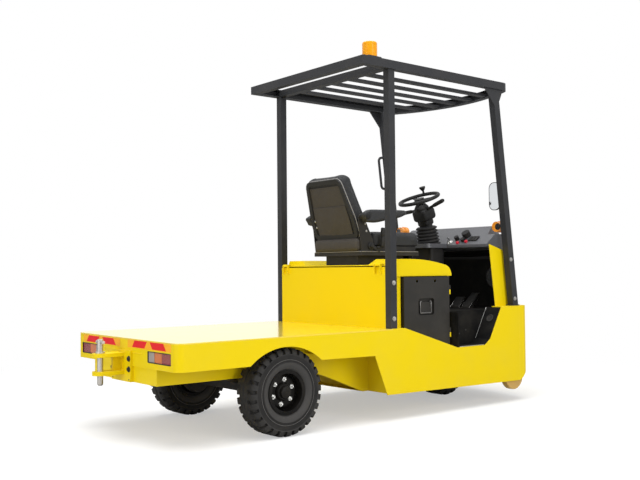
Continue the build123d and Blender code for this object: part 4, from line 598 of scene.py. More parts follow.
def plate(mesh, size, turn, corner, thick, rounds=6):
    """A flat plate with round corners, extruded along its own Z; returns the outline's points in order."""
    made = bmesh.ops.create_grid(mesh, x_segments=1, y_segments=1, size=0.5,
                                 matrix=turn @ Matrix.Diagonal((*size, 1, 1)))
    bmesh.ops.bevel(mesh, geom=made["verts"], offset=corner, segments=rounds, profile=0.5,
                    affect="VERTICES", material=-1)
    face = [f for f in mesh.faces if len(f.verts) > 4][-1]
    outline = [vert.co.copy() for vert in face.verts]
    if thick:
        raised = bmesh.ops.extrude_face_region(mesh, geom=[face])
        lift = (turn.to_3x3() @ Vector((0, 0, 1))).normalized() * thick
        moved = [g for g in raised["geom"] if isinstance(g, bmesh.types.BMVert)]
        bmesh.ops.translate(mesh, vec=lift, verts=moved)
        bmesh.ops.recalc_face_normals(mesh, faces=mesh.faces)
    return outline

def tube(name, line, radius, body, coat, closed=True):
    """A round cord of trim along a line of points."""
    curve = bpy.data.curves.new(name, "CURVE")
    curve.dimensions = "3D"
    curve.bevel_depth = radius
    curve.bevel_resolution = 3
    curve.use_fill_caps = True
    spline = curve.splines.new("POLY")
    spline.points.add(len(line) - 1)
    for point, place in zip(spline.points, line):
        point.co = (*place, 1)
    spline.use_cyclic_u = closed
    curve.materials.append(coat)
    made = bpy.data.objects.new(name, curve)
    bpy.context.collection.objects.link(made)
    carried(made, body)
    return made

# %% [markdown]
# ## Painted shade inside the cowl, and headlamp shells
# The cowl is one yellow sheet; inside the footwell its faces are painted black as painted shade. The side a
# point faces is known from its surface direction and its place: where the surface looks back towards the
# middle of the footwell, it gets the painted shade. A headlamp's shell is black behind its lens, so there
# the colour follows how far forward a point lies.

# %% Painted shade inside the cowl, dark shells behind the headlamps
FOOTWELL_MIDDLE = (1.15, 0, 0.80)
LENS_BACK_X = 1.318

def split_finish(made, mask_maker, dark):
    """Mixes a dark colour into a finish where the mask is one."""
    tree = made.node_tree
    shader = tree.nodes["Principled BSDF"]
    mask = mask_maker(tree)
    socket = shader.inputs["Base Color"]
    if socket.links:
        plain = socket.links[0].from_socket
    else:
        plain = tuple(socket.default_value)
    link(tree, mixed(tree, mask, plain, (*dark, 1)), socket)
    return made

def facing_inwards(tree):
    """One where the surface looks towards the middle of the footwell."""
    surface = tree.nodes.new("ShaderNodeNewGeometry")
    reach = tree.nodes.new("ShaderNodeVectorMath")
    reach.operation = "SUBTRACT"
    link(tree, tree.nodes.new("ShaderNodeTexCoord").outputs["Object"], reach.inputs[0])
    reach.inputs[1].default_value = FOOTWELL_MIDDLE
    towards = tree.nodes.new("ShaderNodeVectorMath")
    towards.operation = "DOT_PRODUCT"
    link(tree, reach.outputs[0], towards.inputs[0])
    link(tree, surface.outputs["True Normal"], towards.inputs[1])
    return sums(tree, "LESS_THAN", towards.outputs["Value"], 0.0)

def behind_lens(tree):
    """One behind the front rim of the headlamps."""
    split = tree.nodes.new("ShaderNodeSeparateXYZ")
    link(tree, tree.nodes.new("ShaderNodeTexCoord").outputs["Object"], split.inputs[0])
    return sums(tree, "LESS_THAN", split.outputs["X"], LENS_BACK_X)

# The black inside the cowl is painted shade.
cowl_paint_shaded_inside = split_finish(yellow.copy(), facing_inwards, (0.008, 0.008, 0.008))
cowl_paint_shaded_inside.name = "yellow enamel with painted shade inside"
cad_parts["front_cowl"].material_slots[0].material = cowl_paint_shaded_inside
split_finish(clear, behind_lens, (0.010, 0.010, 0.010))
print("cowl lined")

# %% [markdown]
# ## Tyres
# A solid industrial tyre has broad lugs that run over the shoulder, and a smooth wall with a lighter grey
# ring near the rim and a painted highlight along its ridge. Spinning the half section and then pushing two
# of every five shoulder faces inwards cuts the notches as a mould does.

# %% Tyre rubber with a lighter grey ring and a painted highlight on the ridge
RING_FROM = 0.10
RING_TO = 0.23

def ringed(name, centre_x, centre_z, stops):
    """Rubber whose tone follows the distance from the wheel's axis."""
    made = finish(
        name, (0.017, 0.0155, 0.0145), rough=0.62, dust=0.12, grains=(520.0, 0.3, 0.2), edge=0.0015,
        tone_scale=11.0, rough_spread=0.2, dust_colour=(0.16, 0.145, 0.13, 1))
    tree = made.node_tree
    split = tree.nodes.new("ShaderNodeSeparateXYZ")
    link(tree, tree.nodes.new("ShaderNodeTexCoord").outputs["Object"], split.inputs[0])
    along = sums(tree, "SUBTRACT", split.outputs["X"], centre_x)
    upwards = sums(tree, "SUBTRACT", split.outputs["Z"], centre_z)
    squares = sums(
        tree, "ADD", sums(tree, "MULTIPLY", along, along), sums(tree, "MULTIPLY", upwards, upwards))
    radius = sums(tree, "SQRT", squares, 0.0)
    ramp = tree.nodes.new("ShaderNodeValToRGB")
    while len(ramp.color_ramp.elements) < len(stops):
        ramp.color_ramp.elements.new(0.5)
    for element, (at_radius, tone_of) in zip(ramp.color_ramp.elements, stops):
        element.position = (at_radius - RING_FROM) / (RING_TO - RING_FROM)
        element.color = (tone_of, tone_of * 0.96, tone_of * 0.92, 1)
    link(tree, spread(tree, radius, RING_FROM, RING_TO), ramp.inputs["Fac"])
    shade = [n for n in tree.nodes if n.bl_idname == "ShaderNodeGroup" and n.node_tree == tone][0]
    link(tree, ramp.outputs["Color"], shade.inputs["Colour"])
    return made

REAR_AXLE = (-0.626, 0.2285)
FRONT_AXLE = (1.085, 0.203)
# The narrow 0.20 stop at 0.168 lies on the wall's ridge and is a painted highlight; the band from 0.120 to
# 0.152 is a lighter grey.
REAR_TONES_AND_GLINT = (
    (0.116, 0.030), (0.120, 0.050), (0.152, 0.046), (0.157, 0.012), (0.1665, 0.011), (0.168, 0.20),
    (0.1695, 0.012), (0.190, 0.013), (0.196, 0.030), (0.228, 0.022))
FRONT_RINGS = ((0.12, 0.030), (0.15, 0.030), (0.20, 0.018))
rear_rubber = ringed("rear tyre rubber", *REAR_AXLE, REAR_TONES_AND_GLINT)
front_rubber = ringed("front tyre rubber", *FRONT_AXLE, FRONT_RINGS)
print("ringed rubbers:", rear_rubber.name, "and", front_rubber.name)

# %% Tyres with lugs
WHEEL_Y = 0.462
REAR_TYRE = (0.2285, 0.156, 28)
FRONT_TYRE = (0.203, 0.150, 20)
SHOULDER = 0.030
NOTCH_WIDTH = 0.047
NOTCH_DEPTH = 0.013

def angle_of(x, z):
    """The angle round the axle, from nought to a full turn."""
    return atan2(z, x) % (2 * pi)

def tyre(name, node, body, coat, axle, middle, radius, width, lugs):
    """Half section spun round the axle, notched between the lugs; replaces the plain CAD tyre."""
    half = width / 2
    section = (
        (0.1045, 0.0595), (0.118, 0.0595), (0.124, 0.0655), (0.132, half - 0.006),
        (0.143, half - 0.002), (0.154, half - 0.0005), (0.158, half - 0.003), (0.166, half - 0.003),
        (0.168, half - 0.0012), (0.170, half - 0.003), (radius - 0.034, half - 0.003),
        (radius - 0.030, half - 0.0008), (radius - 0.016, half - 0.004), (radius - 0.004, half - 0.013),
        (radius, half - 0.024), (radius, half - 0.046), (radius, 0.007), (radius - 0.004, 0.0))
    whole = section + tuple((r, -y) for r, y in reversed(section[:-1]))
    mesh = bmesh.new()
    line = [mesh.verts.new((axle[0] + r, middle + y, axle[1])) for r, y in whole]
    edges = [mesh.edges.new(pair) for pair in zip(line, line[1:] + line[:1])]
    bmesh.ops.spin(mesh, geom=line + edges, cent=(axle[0], middle, axle[1]), axis=(0, 1, 0), angle=2 * pi,
                   steps=lugs * 5, use_merge=True)
    bmesh.ops.remove_doubles(mesh, verts=mesh.verts, dist=0.00001)
    bmesh.ops.recalc_face_normals(mesh, faces=mesh.faces)

    def turn_of(face):
        """Which fifth of its lug's pitch a face lies in."""
        spot = face.calc_center_median()
        share = angle_of(spot.x - axle[0], spot.z - axle[1]) / (2 * pi)
        return int(share * lugs * 5 + 0.001) % 5

    def far_out(face):
        """Whether a face lies on one of the two shoulders."""
        spot = face.calc_center_median()
        reach = Vector((spot.x - axle[0], spot.z - axle[1])).length
        return reach > radius - SHOULDER and abs(spot.y - middle) > half - NOTCH_WIDTH

    for side in (1, -1):
        first = (0, 1) if side == 1 else (2, 3)
        outer = [f for f in mesh.faces if far_out(f) and (f.calc_center_median().y - middle) * side > 0]
        notch = [f for f in outer if turn_of(f) in first]
        bmesh.ops.inset_region(
            mesh, faces=notch, thickness=0.0015, depth=-NOTCH_DEPTH, use_even_offset=True)
    made = shown(name, mesh, body, coat, sharp=28.0)
    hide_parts(node)
    return made

SIDES = (("left", 1), ("right", -1))
for hand, side in SIDES:
    tyre(f"rear_tyre_tread_{hand}", f"rear_tyre_{hand}", f"rear_wheel_{hand}", rear_rubber, REAR_AXLE,
         side * WHEEL_Y, *REAR_TYRE)
tyre("front_tyre_tread", "front_tyre", "front_wheel", front_rubber, FRONT_AXLE, 0.0, *FRONT_TYRE)

# %% [markdown]
# ## Wheel studs
# Six bright nuts hold each rear wheel to its hub, on a circle inside the dished disc; the valve sits
# further out. An array round an empty would do it too. A loop over the angle keeps the nuts in one mesh
# that turns with its wheel.

# %% Studs and valve of the rear wheels
STUD_CIRCLE = 0.064
STUD_TURN = 0.35
DISC_FACE = WHEEL_Y + 0.024
VALVE = (REAR_AXLE[0] + 0.052, WHEEL_Y + 0.050, REAR_AXLE[1] + 0.081)
STUD_STEPS = ((0.0001, 0.015), (0.0045, 0.014), (0.005, 0.012), (0.005, 0.004))
VALVE_STEPS = ((0.0001, 0.010), (0.003, 0.0095), (0.0035, 0.007), (0.0035, 0.0))
HUB_STEPS = ((0.0001, 0.0588), (0.024, 0.0588), (0.0265, 0.0575), (0.0275, 0.0555))
for hand, side in SIDES:
    outwards = (0, side, 0)
    mesh = bmesh.new()
    for n in range(6):
        turn = n * pi / 3 + STUD_TURN
        along, up = STUD_CIRCLE * cos(turn), STUD_CIRCLE * sin(turn)
        spot = (REAR_AXLE[0] + along, side * DISC_FACE, REAR_AXLE[1] + up)
        bolt(mesh, spot, outwards, 0.0085)
        turned(mesh, spot, outwards, STUD_STEPS, 16)
    shown(f"wheel_nuts_{hand}", mesh, f"rear_wheel_{hand}", bright_steel)
    mesh = bmesh.new()
    turned(mesh, (VALVE[0], side * VALVE[1], VALVE[2]), outwards, VALVE_STEPS, 12)
    turned(mesh, (REAR_AXLE[0], side * WHEEL_Y, REAR_AXLE[1]), outwards, HUB_STEPS, 48)
    shown(f"hub_trim_{hand}", mesh, f"rear_wheel_{hand}", black_paint)
print("nuts on a circle of", STUD_CIRCLE)

# %% [markdown]
# ## Bolts on the frame
# The rear posts, the front posts and the hitch plate are bolted on. The CAD leaves fasteners out, so
# their heads are set on its outer faces here. Each group of heads is one piece on the chassis.

# %% Bolt heads
POST_FACE_Y = 0.540
REAR_POST_BOLTS = ((0.1315, 0.78), (0.1315, 0.575))
FRONT_POST_BOLTS = ((1.188, 0.914), (1.2225, 0.660))
HITCH_FACE_X = -1.297
HITCH_BOLT_Y = 0.09
zinc = finish(
    "zinc plated steel", (0.42, 0.41, 0.39), rough=0.42, dust=0.2, grains=(400.0, 0.0, 0.1), metal=0.8,
    edge=0.0008)
mesh = bmesh.new()
for side in (1, -1):
    for x, height in REAR_POST_BOLTS:
        bolt(mesh, (x, side * POST_FACE_Y, height), (0, side, 0), 0.0095)
    for x, height in FRONT_POST_BOLTS:
        bolt(mesh, (x, side * POST_FACE_Y, height), (0, side, 0), 0.009)
shown("post_bolts", mesh, "chassis", zinc)
mesh = bmesh.new()
for side in (1, -1):
    for height in (0.417, 0.364):
        bolt(mesh, (HITCH_FACE_X, side * HITCH_BOLT_Y, height), (-1, 0, 0), 0.0105)
    # The flat black discs below the bolts stand for two small holes; their black is painted shade.
    turned(mesh, (HITCH_FACE_X, side * HITCH_BOLT_Y, 0.311), (-1, 0, 0),
           ((0.0001, 0.0006), (0.004, 0.0006), (0.0045, 0.0)), 16)
shown("hitch_bolts_and_hole_shade", mesh, "chassis", black_steel)
mesh = bmesh.new()
block(mesh, (0.003, 0.42, 0.005), (-1.2862, 0, 0.449), edge=0.0012)
shown("rear_seam", mesh, "chassis", yellow)
print("bolts on both posts and the hitch")

# %% [markdown]
# ## Reflective tapes
# Two amber strips with slanted red bars run along the rear edge. They could be painted in the material,
# but film has an edge that catches light, so each is a plate four tenths of a millimetre thick, and the
# bars are sheared plates that lie just proud of it.

# %% Tape film
def film(name, colour):
    """Reflective film: a fine pattern of cells under a satin face."""
    made = bpy.data.materials.new(name)
    made.use_nodes = True
    tree = made.node_tree
    shader = tree.nodes["Principled BSDF"]
    shader.inputs["Roughness"].default_value = 0.42
    shader.inputs["Specular IOR Level"].default_value = 0.12
    cell = tree.nodes.new("ShaderNodeTexVoronoi")
    cell.feature = "DISTANCE_TO_EDGE"
    cell.inputs["Scale"].default_value = 260.0
    link(tree, tree.nodes.new("ShaderNodeTexCoord").outputs["Object"], cell.inputs["Vector"])
    lines = spread(tree, cell.outputs["Distance"], 0.0, 0.12, 0.8, 0.0)
    lighter = [min(1, part * 1.15 + 0.01) for part in colour]
    link(tree, mixed(tree, lines, (*colour, 1), (*lighter, 1)), shader.inputs["Base Color"])
    return made

amber_film = film("amber film", (0.90, 0.42, 0.02))
red_film = film("red film", (0.72, 0.012, 0.02))
print("films:", amber_film.name, "and", red_film.name)

# %% Tapes
REAR_FACE_X = -1.2851
FILM_THICK = 0.0004

def strip(mesh, y_from, y_to, z_from, z_to, out, lean=0.0):
    """A thin plate on the rear face, its top edge pushed sideways by lean."""
    facing = Matrix.Rotation(-pi / 2, 4, "Y")
    shear = Matrix.Identity(4)
    shear[1][0] = lean / (z_to - z_from)
    spot = Matrix.Translation((REAR_FACE_X - out, (y_from + y_to) / 2, (z_from + z_to) / 2)) @ facing
    size = Matrix.Diagonal((z_to - z_from, y_to - y_from, FILM_THICK, 1))
    bmesh.ops.create_cube(mesh, size=1, matrix=spot @ shear @ size)

mesh = bmesh.new()
strip(mesh, 0.031, 0.475, 0.4725, 0.511, 0.0003)
strip(mesh, -0.497, -0.055, 0.4735, 0.5125, 0.0003)
shown("tape_amber", mesh, "chassis", amber_film)
mesh = bmesh.new()
for left, right, lean in ((0.289, 0.423, -0.031), (0.094, 0.2255, 0.031)):
    strip(mesh, left, right, 0.4745, 0.5085, 0.0007, lean)
for left, right, lean in ((-0.246, -0.116, -0.026), (-0.4355, -0.30, 0.027)):
    strip(mesh, left, right, 0.4770, 0.5115, 0.0007, lean)
shown("tape_red", mesh, "chassis", red_film)
print("tapes on")

# %% [markdown]
# ## Padded seat
# Cushion, backrest and armrests are foam under vinyl. Each starts as its CAD solid, remeshed to even
# faces and drawn in a little. Cloth pressure then swells the skin, the travel of each point is capped,
# and one subdivision smooths it.

# %% Stuffing helper
def applied(made):
    """Replaces a piece's mesh by what its modifiers show."""
    depsgraph = bpy.context.evaluated_depsgraph_get()
    data = bpy.data.meshes.new_from_object(made.evaluated_get(depsgraph))
    made.modifiers.clear()
    made.data = data

def stuffed(name, node, body, coat, drawn_in, cap, keep):
    """A padded piece made from a CAD solid; keep(point) limits where a point may go."""
    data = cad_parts[node].data.copy()
    pad = bpy.data.objects.new(name, data)
    bpy.context.collection.objects.link(pad)
    even = pad.modifiers.new("even", "REMESH")
    even.mode = "VOXEL"
    even.voxel_size = 0.006
    applied(pad)
    for vert, normal in [(v, v.normal.copy()) for v in pad.data.vertices]:
        vert.co = vert.co - normal * drawn_in
    start = [vert.co.copy() for vert in pad.data.vertices]
    cloth = pad.modifiers.new("cloth", "CLOTH")
    cloth.settings.use_pressure = True
    cloth.settings.uniform_pressure_force = 4
    cloth.settings.effector_weights.gravity = 0
    for number in range(1, 21):
        bpy.context.scene.frame_set(number)
    applied(pad)
    bpy.context.scene.frame_set(1)
    for vert, first in zip(pad.data.vertices, start):
        move = vert.co - first
        if move.length > cap:
            move = move.normalized() * cap
        vert.co = keep(first + move)
    smooth = pad.modifiers.new("smooth", "SUBSURF")
    smooth.levels = smooth.render_levels = 1
    applied(pad)
    pad.data.materials.clear()
    pad.data.materials.append(coat)
    pad.data.shade_smooth()
    carried(pad, body)
    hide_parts(node)
    return pad

def anywhere(point):
    """No limit on where a point may go."""
    return point

print("cloth is", "run")

# %% Cushion, backrest and armrests
BACK = Matrix.Translation((0.165, 0, 1.042)) @ Matrix.Rotation(radians(-19), 4, "Y")
BACK_INVERSE = BACK.inverted()

def on_the_pan(point):
    """The cushion rests flat on its pan, behind it the backrest's hinge plates keep their gap."""
    return Vector((max(point.x, 0.277), min(max(point.y, -0.226), 0.226), max(point.z, 1.0005)))

def before_the_shell(point):
    """The backrest's foam stays in front of its rigid shell."""
    local = BACK_INVERSE @ point
    local.x = max(local.x, 0.020)
    return BACK @ local

cushion = stuffed("cushion", "seat_cushion", "hood", vinyl, 0.005, 0.011, on_the_pan)
backrest = stuffed("backrest", "seat_back", "hood", vinyl, 0.004, 0.008, before_the_shell)
for hand in ("left", "right"):
    stuffed(f"arm_pad_{hand}", f"armrest_{hand}", f"armrest_{hand}", vinyl, 0.0035, 0.0045, anywhere)
print("faces of cushion and backrest:", len(cushion.data.polygons), len(backrest.data.polygons))

# %% Caps on the armrest pivots
ARM_PIVOT = (0.173, 0.2862, 1.175)
CAP_STEPS = ((0.0001, 0.0), (0.0165, 0.0), (0.0165, 0.0022), (0.013, 0.0036), (0.0, 0.004))
for hand, side in SIDES:
    mesh = bmesh.new()
    turned(mesh, (ARM_PIVOT[0], side * ARM_PIVOT[1], ARM_PIVOT[2]), (0, side, 0), CAP_STEPS, 28)
    shown(f"arm_pivot_cap_{hand}", mesh, f"armrest_{hand}", black_plastic)
print("pivot caps at", ARM_PIVOT)

# %% [markdown]
# ## Back of the seat
# Behind the foam sits a moulded shell with a light welt round its edge. A map pocket of thin vinyl is
# sewn onto it, in two panels that overlap at half height, and two snaps hold the lower corner.

# %% Finishes of the seat's back
seat_shell = finish(
    "seat shell plastic", (0.020, 0.020, 0.020), rough=0.5, dust=0.06, grains=(1100.0, 0.4, 0.2),
    edge=0.0015)
welt_vinyl = finish(
    "grey welt", (0.26, 0.25, 0.24), rough=0.5, dust=0.05, grains=(900.0, 0.0, 0.1), edge=0.0008)
pocket_vinyl = finish(
    "pocket vinyl", (0.052, 0.046, 0.040), rough=0.55, dust=0.05, grains=(900.0, 0.8, 0.3), edge=0.001,
    tone_scale=14.0, rough_spread=0.3)
print("seat finishes:", seat_shell.name, welt_vinyl.name, pocket_vinyl.name)

# %% Shell and welt
TAPER_FROM = 0.12
TAPER_RUN = 0.27
TAPER = 0.24

def narrowed(point):
    """The backrest is narrower towards its top."""
    local = BACK_INVERSE @ Vector(point)
    up = min(max((local.z - TAPER_FROM) / TAPER_RUN, 0.0), 1.0)
    local.y *= 1 - TAPER * up
    return BACK @ local

for vert in backrest.data.vertices:
    vert.co = narrowed(vert.co)

UPRIGHT = BACK @ Matrix.Translation((0.019, 0, 0.190)) @ Matrix.Rotation(pi / 2, 4, "Y")
mesh = bmesh.new()
outline = plate(mesh, (0.380, 0.412), UPRIGHT, 0.042, -0.016)
rear_face = min(mesh.faces, key=lambda f: (BACK_INVERSE @ f.calc_center_median()).x)
bmesh.ops.inset_region(mesh, faces=[rear_face], thickness=0.030, depth=0.0)
bmesh.ops.inset_region(mesh, faces=[rear_face], thickness=0.003, depth=-0.009)
for cut in (0.06, 0.12, 0.17, 0.22, 0.27, 0.32):
    bmesh.ops.bisect_plane(mesh, geom=mesh.verts[:] + mesh.edges[:] + mesh.faces[:], dist=0.0001,
                           plane_co=BACK @ Vector((0, 0, cut)), plane_no=BACK.to_3x3() @ Vector((0, 0, 1)))
for vert in mesh.verts:
    vert.co = narrowed(vert.co)
shown("seat_shell", mesh, "hood", seat_shell)
welt_line = []
for first, last in zip(outline, outline[1:] + outline[:1]):
    pieces = max(1, round((last - first).length / 0.04))
    welt_line += [narrowed(first.lerp(last, n / pieces)) for n in range(pieces)]
tube("seat_welt", welt_line, 0.0034, "hood", welt_vinyl)
print("welt of", len(welt_line), "points")

# %% Roll behind the cushion
mesh = bmesh.new()
block(mesh, (0.070, 0.418, 0.082), (0.184, 0, 1.008), edge=0.026, rounds=4)
block(mesh, (0.050, 0.400, 0.060), (0.226, 0, 1.022), edge=0.014, rounds=3)
shown("seat_pan_roll", mesh, "hood", pocket_vinyl)
print("roll closes the gap under the backrest")

# %% Map pocket
def pocket(name, low, high, half_low, half_high, bulge, out):
    """One vinyl panel, fuller in its middle, tapering towards its foot."""
    mesh = bmesh.new()
    bmesh.ops.create_grid(mesh, x_segments=20, y_segments=20, size=0.5)
    for vert in mesh.verts:
        up, side = vert.co.x + 0.5, vert.co.y * 2
        half = half_low + (half_high - half_low) * up
        crease = 0.0012 * sin(9 * side + 5 * up) * (1 - abs(side))
        full = bulge * (1 - side * side) * (1 - (2 * up - 1) ** 2 * 0.7) + crease
        vert.co = narrowed(BACK @ Vector((0.013 - out - full, side * half, low + (high - low) * up)))
    bmesh.ops.solidify(mesh, geom=mesh.faces[:], thickness=0.0015)
    return shown(name, mesh, "hood", pocket_vinyl)

pocket("pocket_top", 0.205, 0.338, 0.168, 0.172, 0.004, 0.003)
pocket("pocket_front", 0.028, 0.212, 0.158, 0.167, 0.008, 0.006)
mesh = bmesh.new()
for height in (0.085, 0.125):
    turned(mesh, BACK @ Vector((0.0045, 0.166, height)), BACK.to_3x3() @ Vector((-1, 0, 0)),
           ((0.0001, 0.0022), (0.003, 0.0022), (0.005, 0.0012), (0.006, 0.0)), 14)
shown("pocket_snaps", mesh, "hood", zinc)
print("pocket in two panels")

# %% Seat hardware: recliner, buckle and the plate's edge
RECLINER_STEPS = (
    (0.0001, 0.026), (0.010, 0.026), (0.014, 0.022), (0.014, 0.012), (0.022, 0.010), (0.022, 0.0))
mesh = bmesh.new()
for side in (1, -1):
    turned(mesh, (0.246, side * 0.2215, 1.000), (0, side, 0), RECLINER_STEPS, 24)
    block(mesh, (0.072, 0.006, 0.020), (0.285, side * 0.2285, 0.984), Matrix.Rotation(0.35, 4, "Y"), 0.002)
block(mesh, (0.026, 0.016, 0.070), (0.330, -0.244, 1.030), Matrix.Rotation(0.12, 4, "Y"), 0.003)
block(mesh, (0.040, 0.022, 0.052), (0.338, -0.244, 1.086), Matrix.Rotation(0.12, 4, "Y"), 0.006, 3)
block(mesh, (0.060, 0.012, 0.014), (0.320, -0.232, 0.992), edge=0.003)
shown("seat_hardware", mesh, "hood", seat_shell)
mesh = bmesh.new()
edge_line = plate(mesh, (0.500, 0.452), Matrix.Translation((0.4145, 0, 0.9665)), 0.020, 0.0)
mesh.free()
tube("seat_plate_edge", edge_line, 0.0022, "hood", welt_vinyl)
mesh = bmesh.new()
for side in (1, -1):
    for height in (0.060, 0.105, 0.160):
        place = BACK @ Vector((0.055 + height * 0.12, side * 0.2218, height - 0.03))
        bolt(mesh, place, (0, side, 0), 0.005)
shown("recliner_bolts", mesh, "hood", zinc)
print("seat dressed")

# %% [markdown]
# ## Mirror
# A tall convex mirror hangs inside the right front post. Its shell is a thin rounded pan, and the glass
# sits in it. The plate helper makes both: inset and pushed in once for the pan, a little smaller for the
# glass. They stand in for the wider mirror of the CAD.

# %% Mirror shell and glass
low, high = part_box("mirror_body")
mesh = bmesh.new()
MIRROR_Y = -0.445
MIRROR_Z = 1.330
FACING_BACK = Matrix.Rotation(pi / 2, 4, "Y")
pan_place = Matrix.Translation((low[0] + 0.014, MIRROR_Y, MIRROR_Z)) @ FACING_BACK
plate(mesh, (0.184, 0.092), pan_place, 0.040, -0.010, 8)
rim_face = min(mesh.faces, key=lambda f: f.calc_center_median().x)
bmesh.ops.inset_region(mesh, faces=[rim_face], thickness=0.0035, depth=0.0)
bmesh.ops.inset_region(mesh, faces=[rim_face], thickness=0.0005, depth=-0.002)
block(mesh, (0.012, 0.020, 0.060), (low[0] + 0.016, MIRROR_Y - 0.040, MIRROR_Z), edge=0.004)
shell = shown("mirror_shell", mesh, "chassis", black_plastic)
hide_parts("mirror_body")
mesh = bmesh.new()
pane_place = Matrix.Translation((low[0] + 0.0048, MIRROR_Y, MIRROR_Z)) @ FACING_BACK
plate(mesh, (0.1755, 0.0835), pane_place, 0.0365, -0.0006, 8)
glass = shown("mirror_pane", mesh, "chassis", mirror_glass)
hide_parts("mirror_glass")
print("mirror set")

# %% [markdown]
# ## Door latches, steps and pedals
# The side doors' latches have a plated bail in a dark recess. The steps get a folded light edge and a
# grommet round the drain hole; each pedal has a ribbed rubber pad between bright side plates. All are
# small enough to be rounded boxes and turned discs, laid on the faces of the CAD.

# %% Latch bails
latch_steel = finish(
    "dark latch steel", (0.16, 0.155, 0.15), rough=0.3, dust=0.15, grains=(400.0, 0.0, 0.1), metal=1.0,
    edge=0.0008)
DOOR_FACE_Y = 0.4965
BAIL_X = 0.435
BAIL_HALF = 0.046
for hand, side in SIDES:
    mesh = bmesh.new()
    for arm in (-1, 1):
        x = BAIL_X + arm * BAIL_HALF
        block(mesh, (0.007, 0.006, 0.066), (x, side * DOOR_FACE_Y, 0.630), edge=0.0025)
        block(mesh, (0.015, 0.008, 0.007), (x - arm * 0.005, side * DOOR_FACE_Y, 0.664), edge=0.003)
    block(mesh, (2 * BAIL_HALF, 0.006, 0.008), (BAIL_X, side * DOOR_FACE_Y, 0.596), edge=0.003)
    shown(f"latch_bail_{hand}", mesh, f"door_{hand}", latch_steel)
print("bails", 2 * BAIL_HALF, "wide")

# %% Step edges, drain grommets and inner wall bolts
SLANT = Vector((0.110, 0, 0.194)).normalized()
slant_turn = Matrix.Rotation(atan2(0.110, 0.194), 4, "Y")
mesh = bmesh.new()
for side in (1, -1):
    block(mesh, (0.003, 0.004, 0.222), (1.0075, side * 0.4335, 0.5105), slant_turn, 0.0008)
    block(mesh, (0.225, 0.0035, 0.003), (0.790, side * 0.5455, 0.3817), edge=0.0008)
shown("step_edges", mesh, "chassis", aluminium)
mesh = bmesh.new()
for side in (1, -1):
    # The grommet's closed dark centre stands for the drain hole; its dark is painted shade.
    turned(mesh, (1.0245, side * 0.494, 0.5405), (-SLANT.z, 0, SLANT.x),
           ((0.0001, 0.0002), (0.019, 0.0002), (0.0205, 0.0032), (0.0245, 0.0032), (0.026, 0.0)), 28)
    for x, height in ((0.74, 0.50), (0.86, 0.47), (0.80, 0.45)):
        bolt(mesh, (x, side * 0.4305, height), (0, side, 0), 0.006)
shown("step_trim", mesh, "chassis", black_steel)
print("step edges slant by", round(atan2(0.110, 0.194), 3))

# %% Pedal pads
PEDAL_X = 1.135
PEDAL_Z = 0.592
mesh = bmesh.new()
bright = bmesh.new()
for y, width, length, rise in ((-0.190, 0.066, 0.150, 42), (-0.095, 0.074, 0.096, 48)):
    turn = Matrix.Rotation(-radians(rise), 4, "Y")
    upward = turn.to_3x3() @ Vector((0, 0, 1))
    along = turn.to_3x3() @ Vector((1, 0, 0))
    foot = Vector((PEDAL_X, y, PEDAL_Z))
    middle = foot + along * length / 2
    block(mesh, (length * 0.94, width * 0.9, 0.004), middle + upward * 0.0022, turn, 0.0012)
    for n in range(7):
        place = foot + along * length * (0.12 + n * 0.127) + upward * 0.0050
        block(mesh, (length * 0.05, width * 0.82, 0.003), place, turn, 0.0009, 1)
    for edge_side in (1, -1):
        place = middle + Vector((0, edge_side * width * 0.515, 0)) - upward * 0.005
        block(bright, (length * 0.9, 0.0022, 0.012), place, turn, 0.0006)
shown("pedal_pads", mesh, "chassis", soft_rubber)
shown("pedal_sides", bright, "chassis", bright_steel)
print("cab trim on")

# %% [markdown]
# ## Column shroud and stalk grips
# Under the wheel the column carries a squarish plastic shroud, and both stalks end in thicker grips. Two
# boxes with wide round edges merge into the shroud. The grips are turned sleeves whose axis is the axis
# of the CAD's own stalks, so they always sit on them.

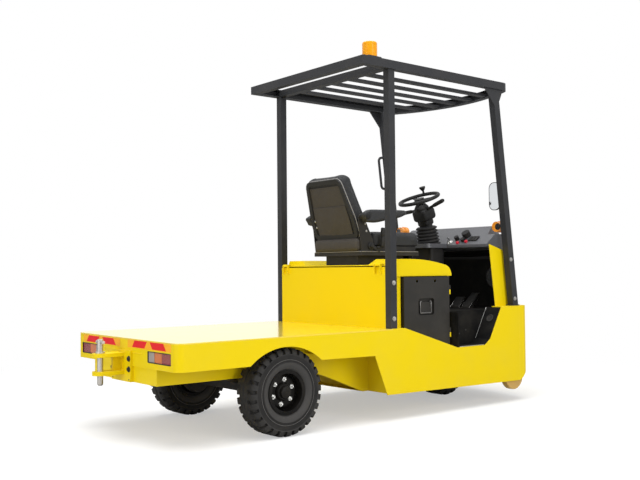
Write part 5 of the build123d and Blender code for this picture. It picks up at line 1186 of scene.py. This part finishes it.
# %% Shroud and grips
COLUMN = Matrix.Translation((0.902, 0, 1.330)) @ Matrix.Rotation(radians(-20), 4, "Y")
mesh = bmesh.new()
column_turn = COLUMN.to_3x3().to_4x4()
STALK_HEIGHT = -0.078
block(mesh, (0.118, 0.122, 0.082), COLUMN @ Vector((0.008, 0, -0.112)), column_turn, 0.022, 4)
block(mesh, (0.084, 0.090, 0.060), COLUMN @ Vector((0.004, 0, -0.160)), column_turn, 0.018, 3)
for y, direction, length in ((-0.040, (0, -0.951, 0.309), 0.180), (0.040, (0, 0.996, -0.087), 0.130)):
    root = Vector((0, y, STALK_HEIGHT))
    first = COLUMN @ (root + Vector(direction) * length * 0.42)
    run = COLUMN @ (root + Vector(direction) * (length + 0.004)) - first
    turned(mesh, first, run, ((0.0001, 0.0), (0.0105, 0.001), (0.0130, 0.016), (0.0135, run.length - 0.014),
                              (0.0105, run.length - 0.002), (0.0001, run.length)), 16)
shown("column_shroud", mesh, "chassis", black_plastic)
print("column dressed")

# %% [markdown]
# ## Dash details
# A key with its tag hangs beside the column, and two red push buttons sit in front of the black turning
# knob. A helper turns a run up the sloped face into a point, so that each control is placed the way one
# would measure it on the real dash.

# %% Key, tag and red buttons
DASH_TILT = radians(36.4)
DASH_EDGE = (1.050, 1.016)
DASH_TURN = Matrix.Rotation(-DASH_TILT, 4, "Y")
LOCK_STEPS = ((0.0001, 0.014), (0.006, 0.014), (0.009, 0.011), (0.009, 0.004), (0.020, 0.003), (0.020, 0.0))
BUTTON_STEPS = ((0.0001, 0.013), (0.007, 0.013), (0.011, 0.010), (0.012, 0.0))

def on_dash(run, y, out=0.0):
    """A point on the sloped face, run metres up from its lower edge."""
    x = DASH_EDGE[0] + run * cos(DASH_TILT) - out * sin(DASH_TILT)
    return Vector((x, y, DASH_EDGE[1] + run * sin(DASH_TILT) + out * cos(DASH_TILT)))

outward = DASH_TURN.to_3x3() @ Vector((0, 0, 1))
mesh = bmesh.new()
turned(mesh, on_dash(0.030, -0.120), outward, LOCK_STEPS, 20)
block(mesh, (0.003, 0.016, 0.028), on_dash(0.030, -0.120, 0.028), DASH_TURN, 0.0012)
block(mesh, (0.0012, 0.010, 0.030), on_dash(0.004, -0.128, 0.022), Matrix.Rotation(0.3, 4, "X"), 0.0005)
shown("key_and_tag", mesh, "chassis", bright_steel)
red_plastic = finish(
    "red push button", (0.55, 0.012, 0.03), rough=0.35, dust=0.04, grains=(900.0, 0.0, 0.05),
    edge=0.001)
mesh = bmesh.new()
for run, y in ((0.020, -0.195), (0.030, -0.262)):
    turned(mesh, on_dash(run, y), outward, BUTTON_STEPS, 20)
shown("red_buttons", mesh, "chassis", red_plastic)
print("dash dressed")

# %% Close
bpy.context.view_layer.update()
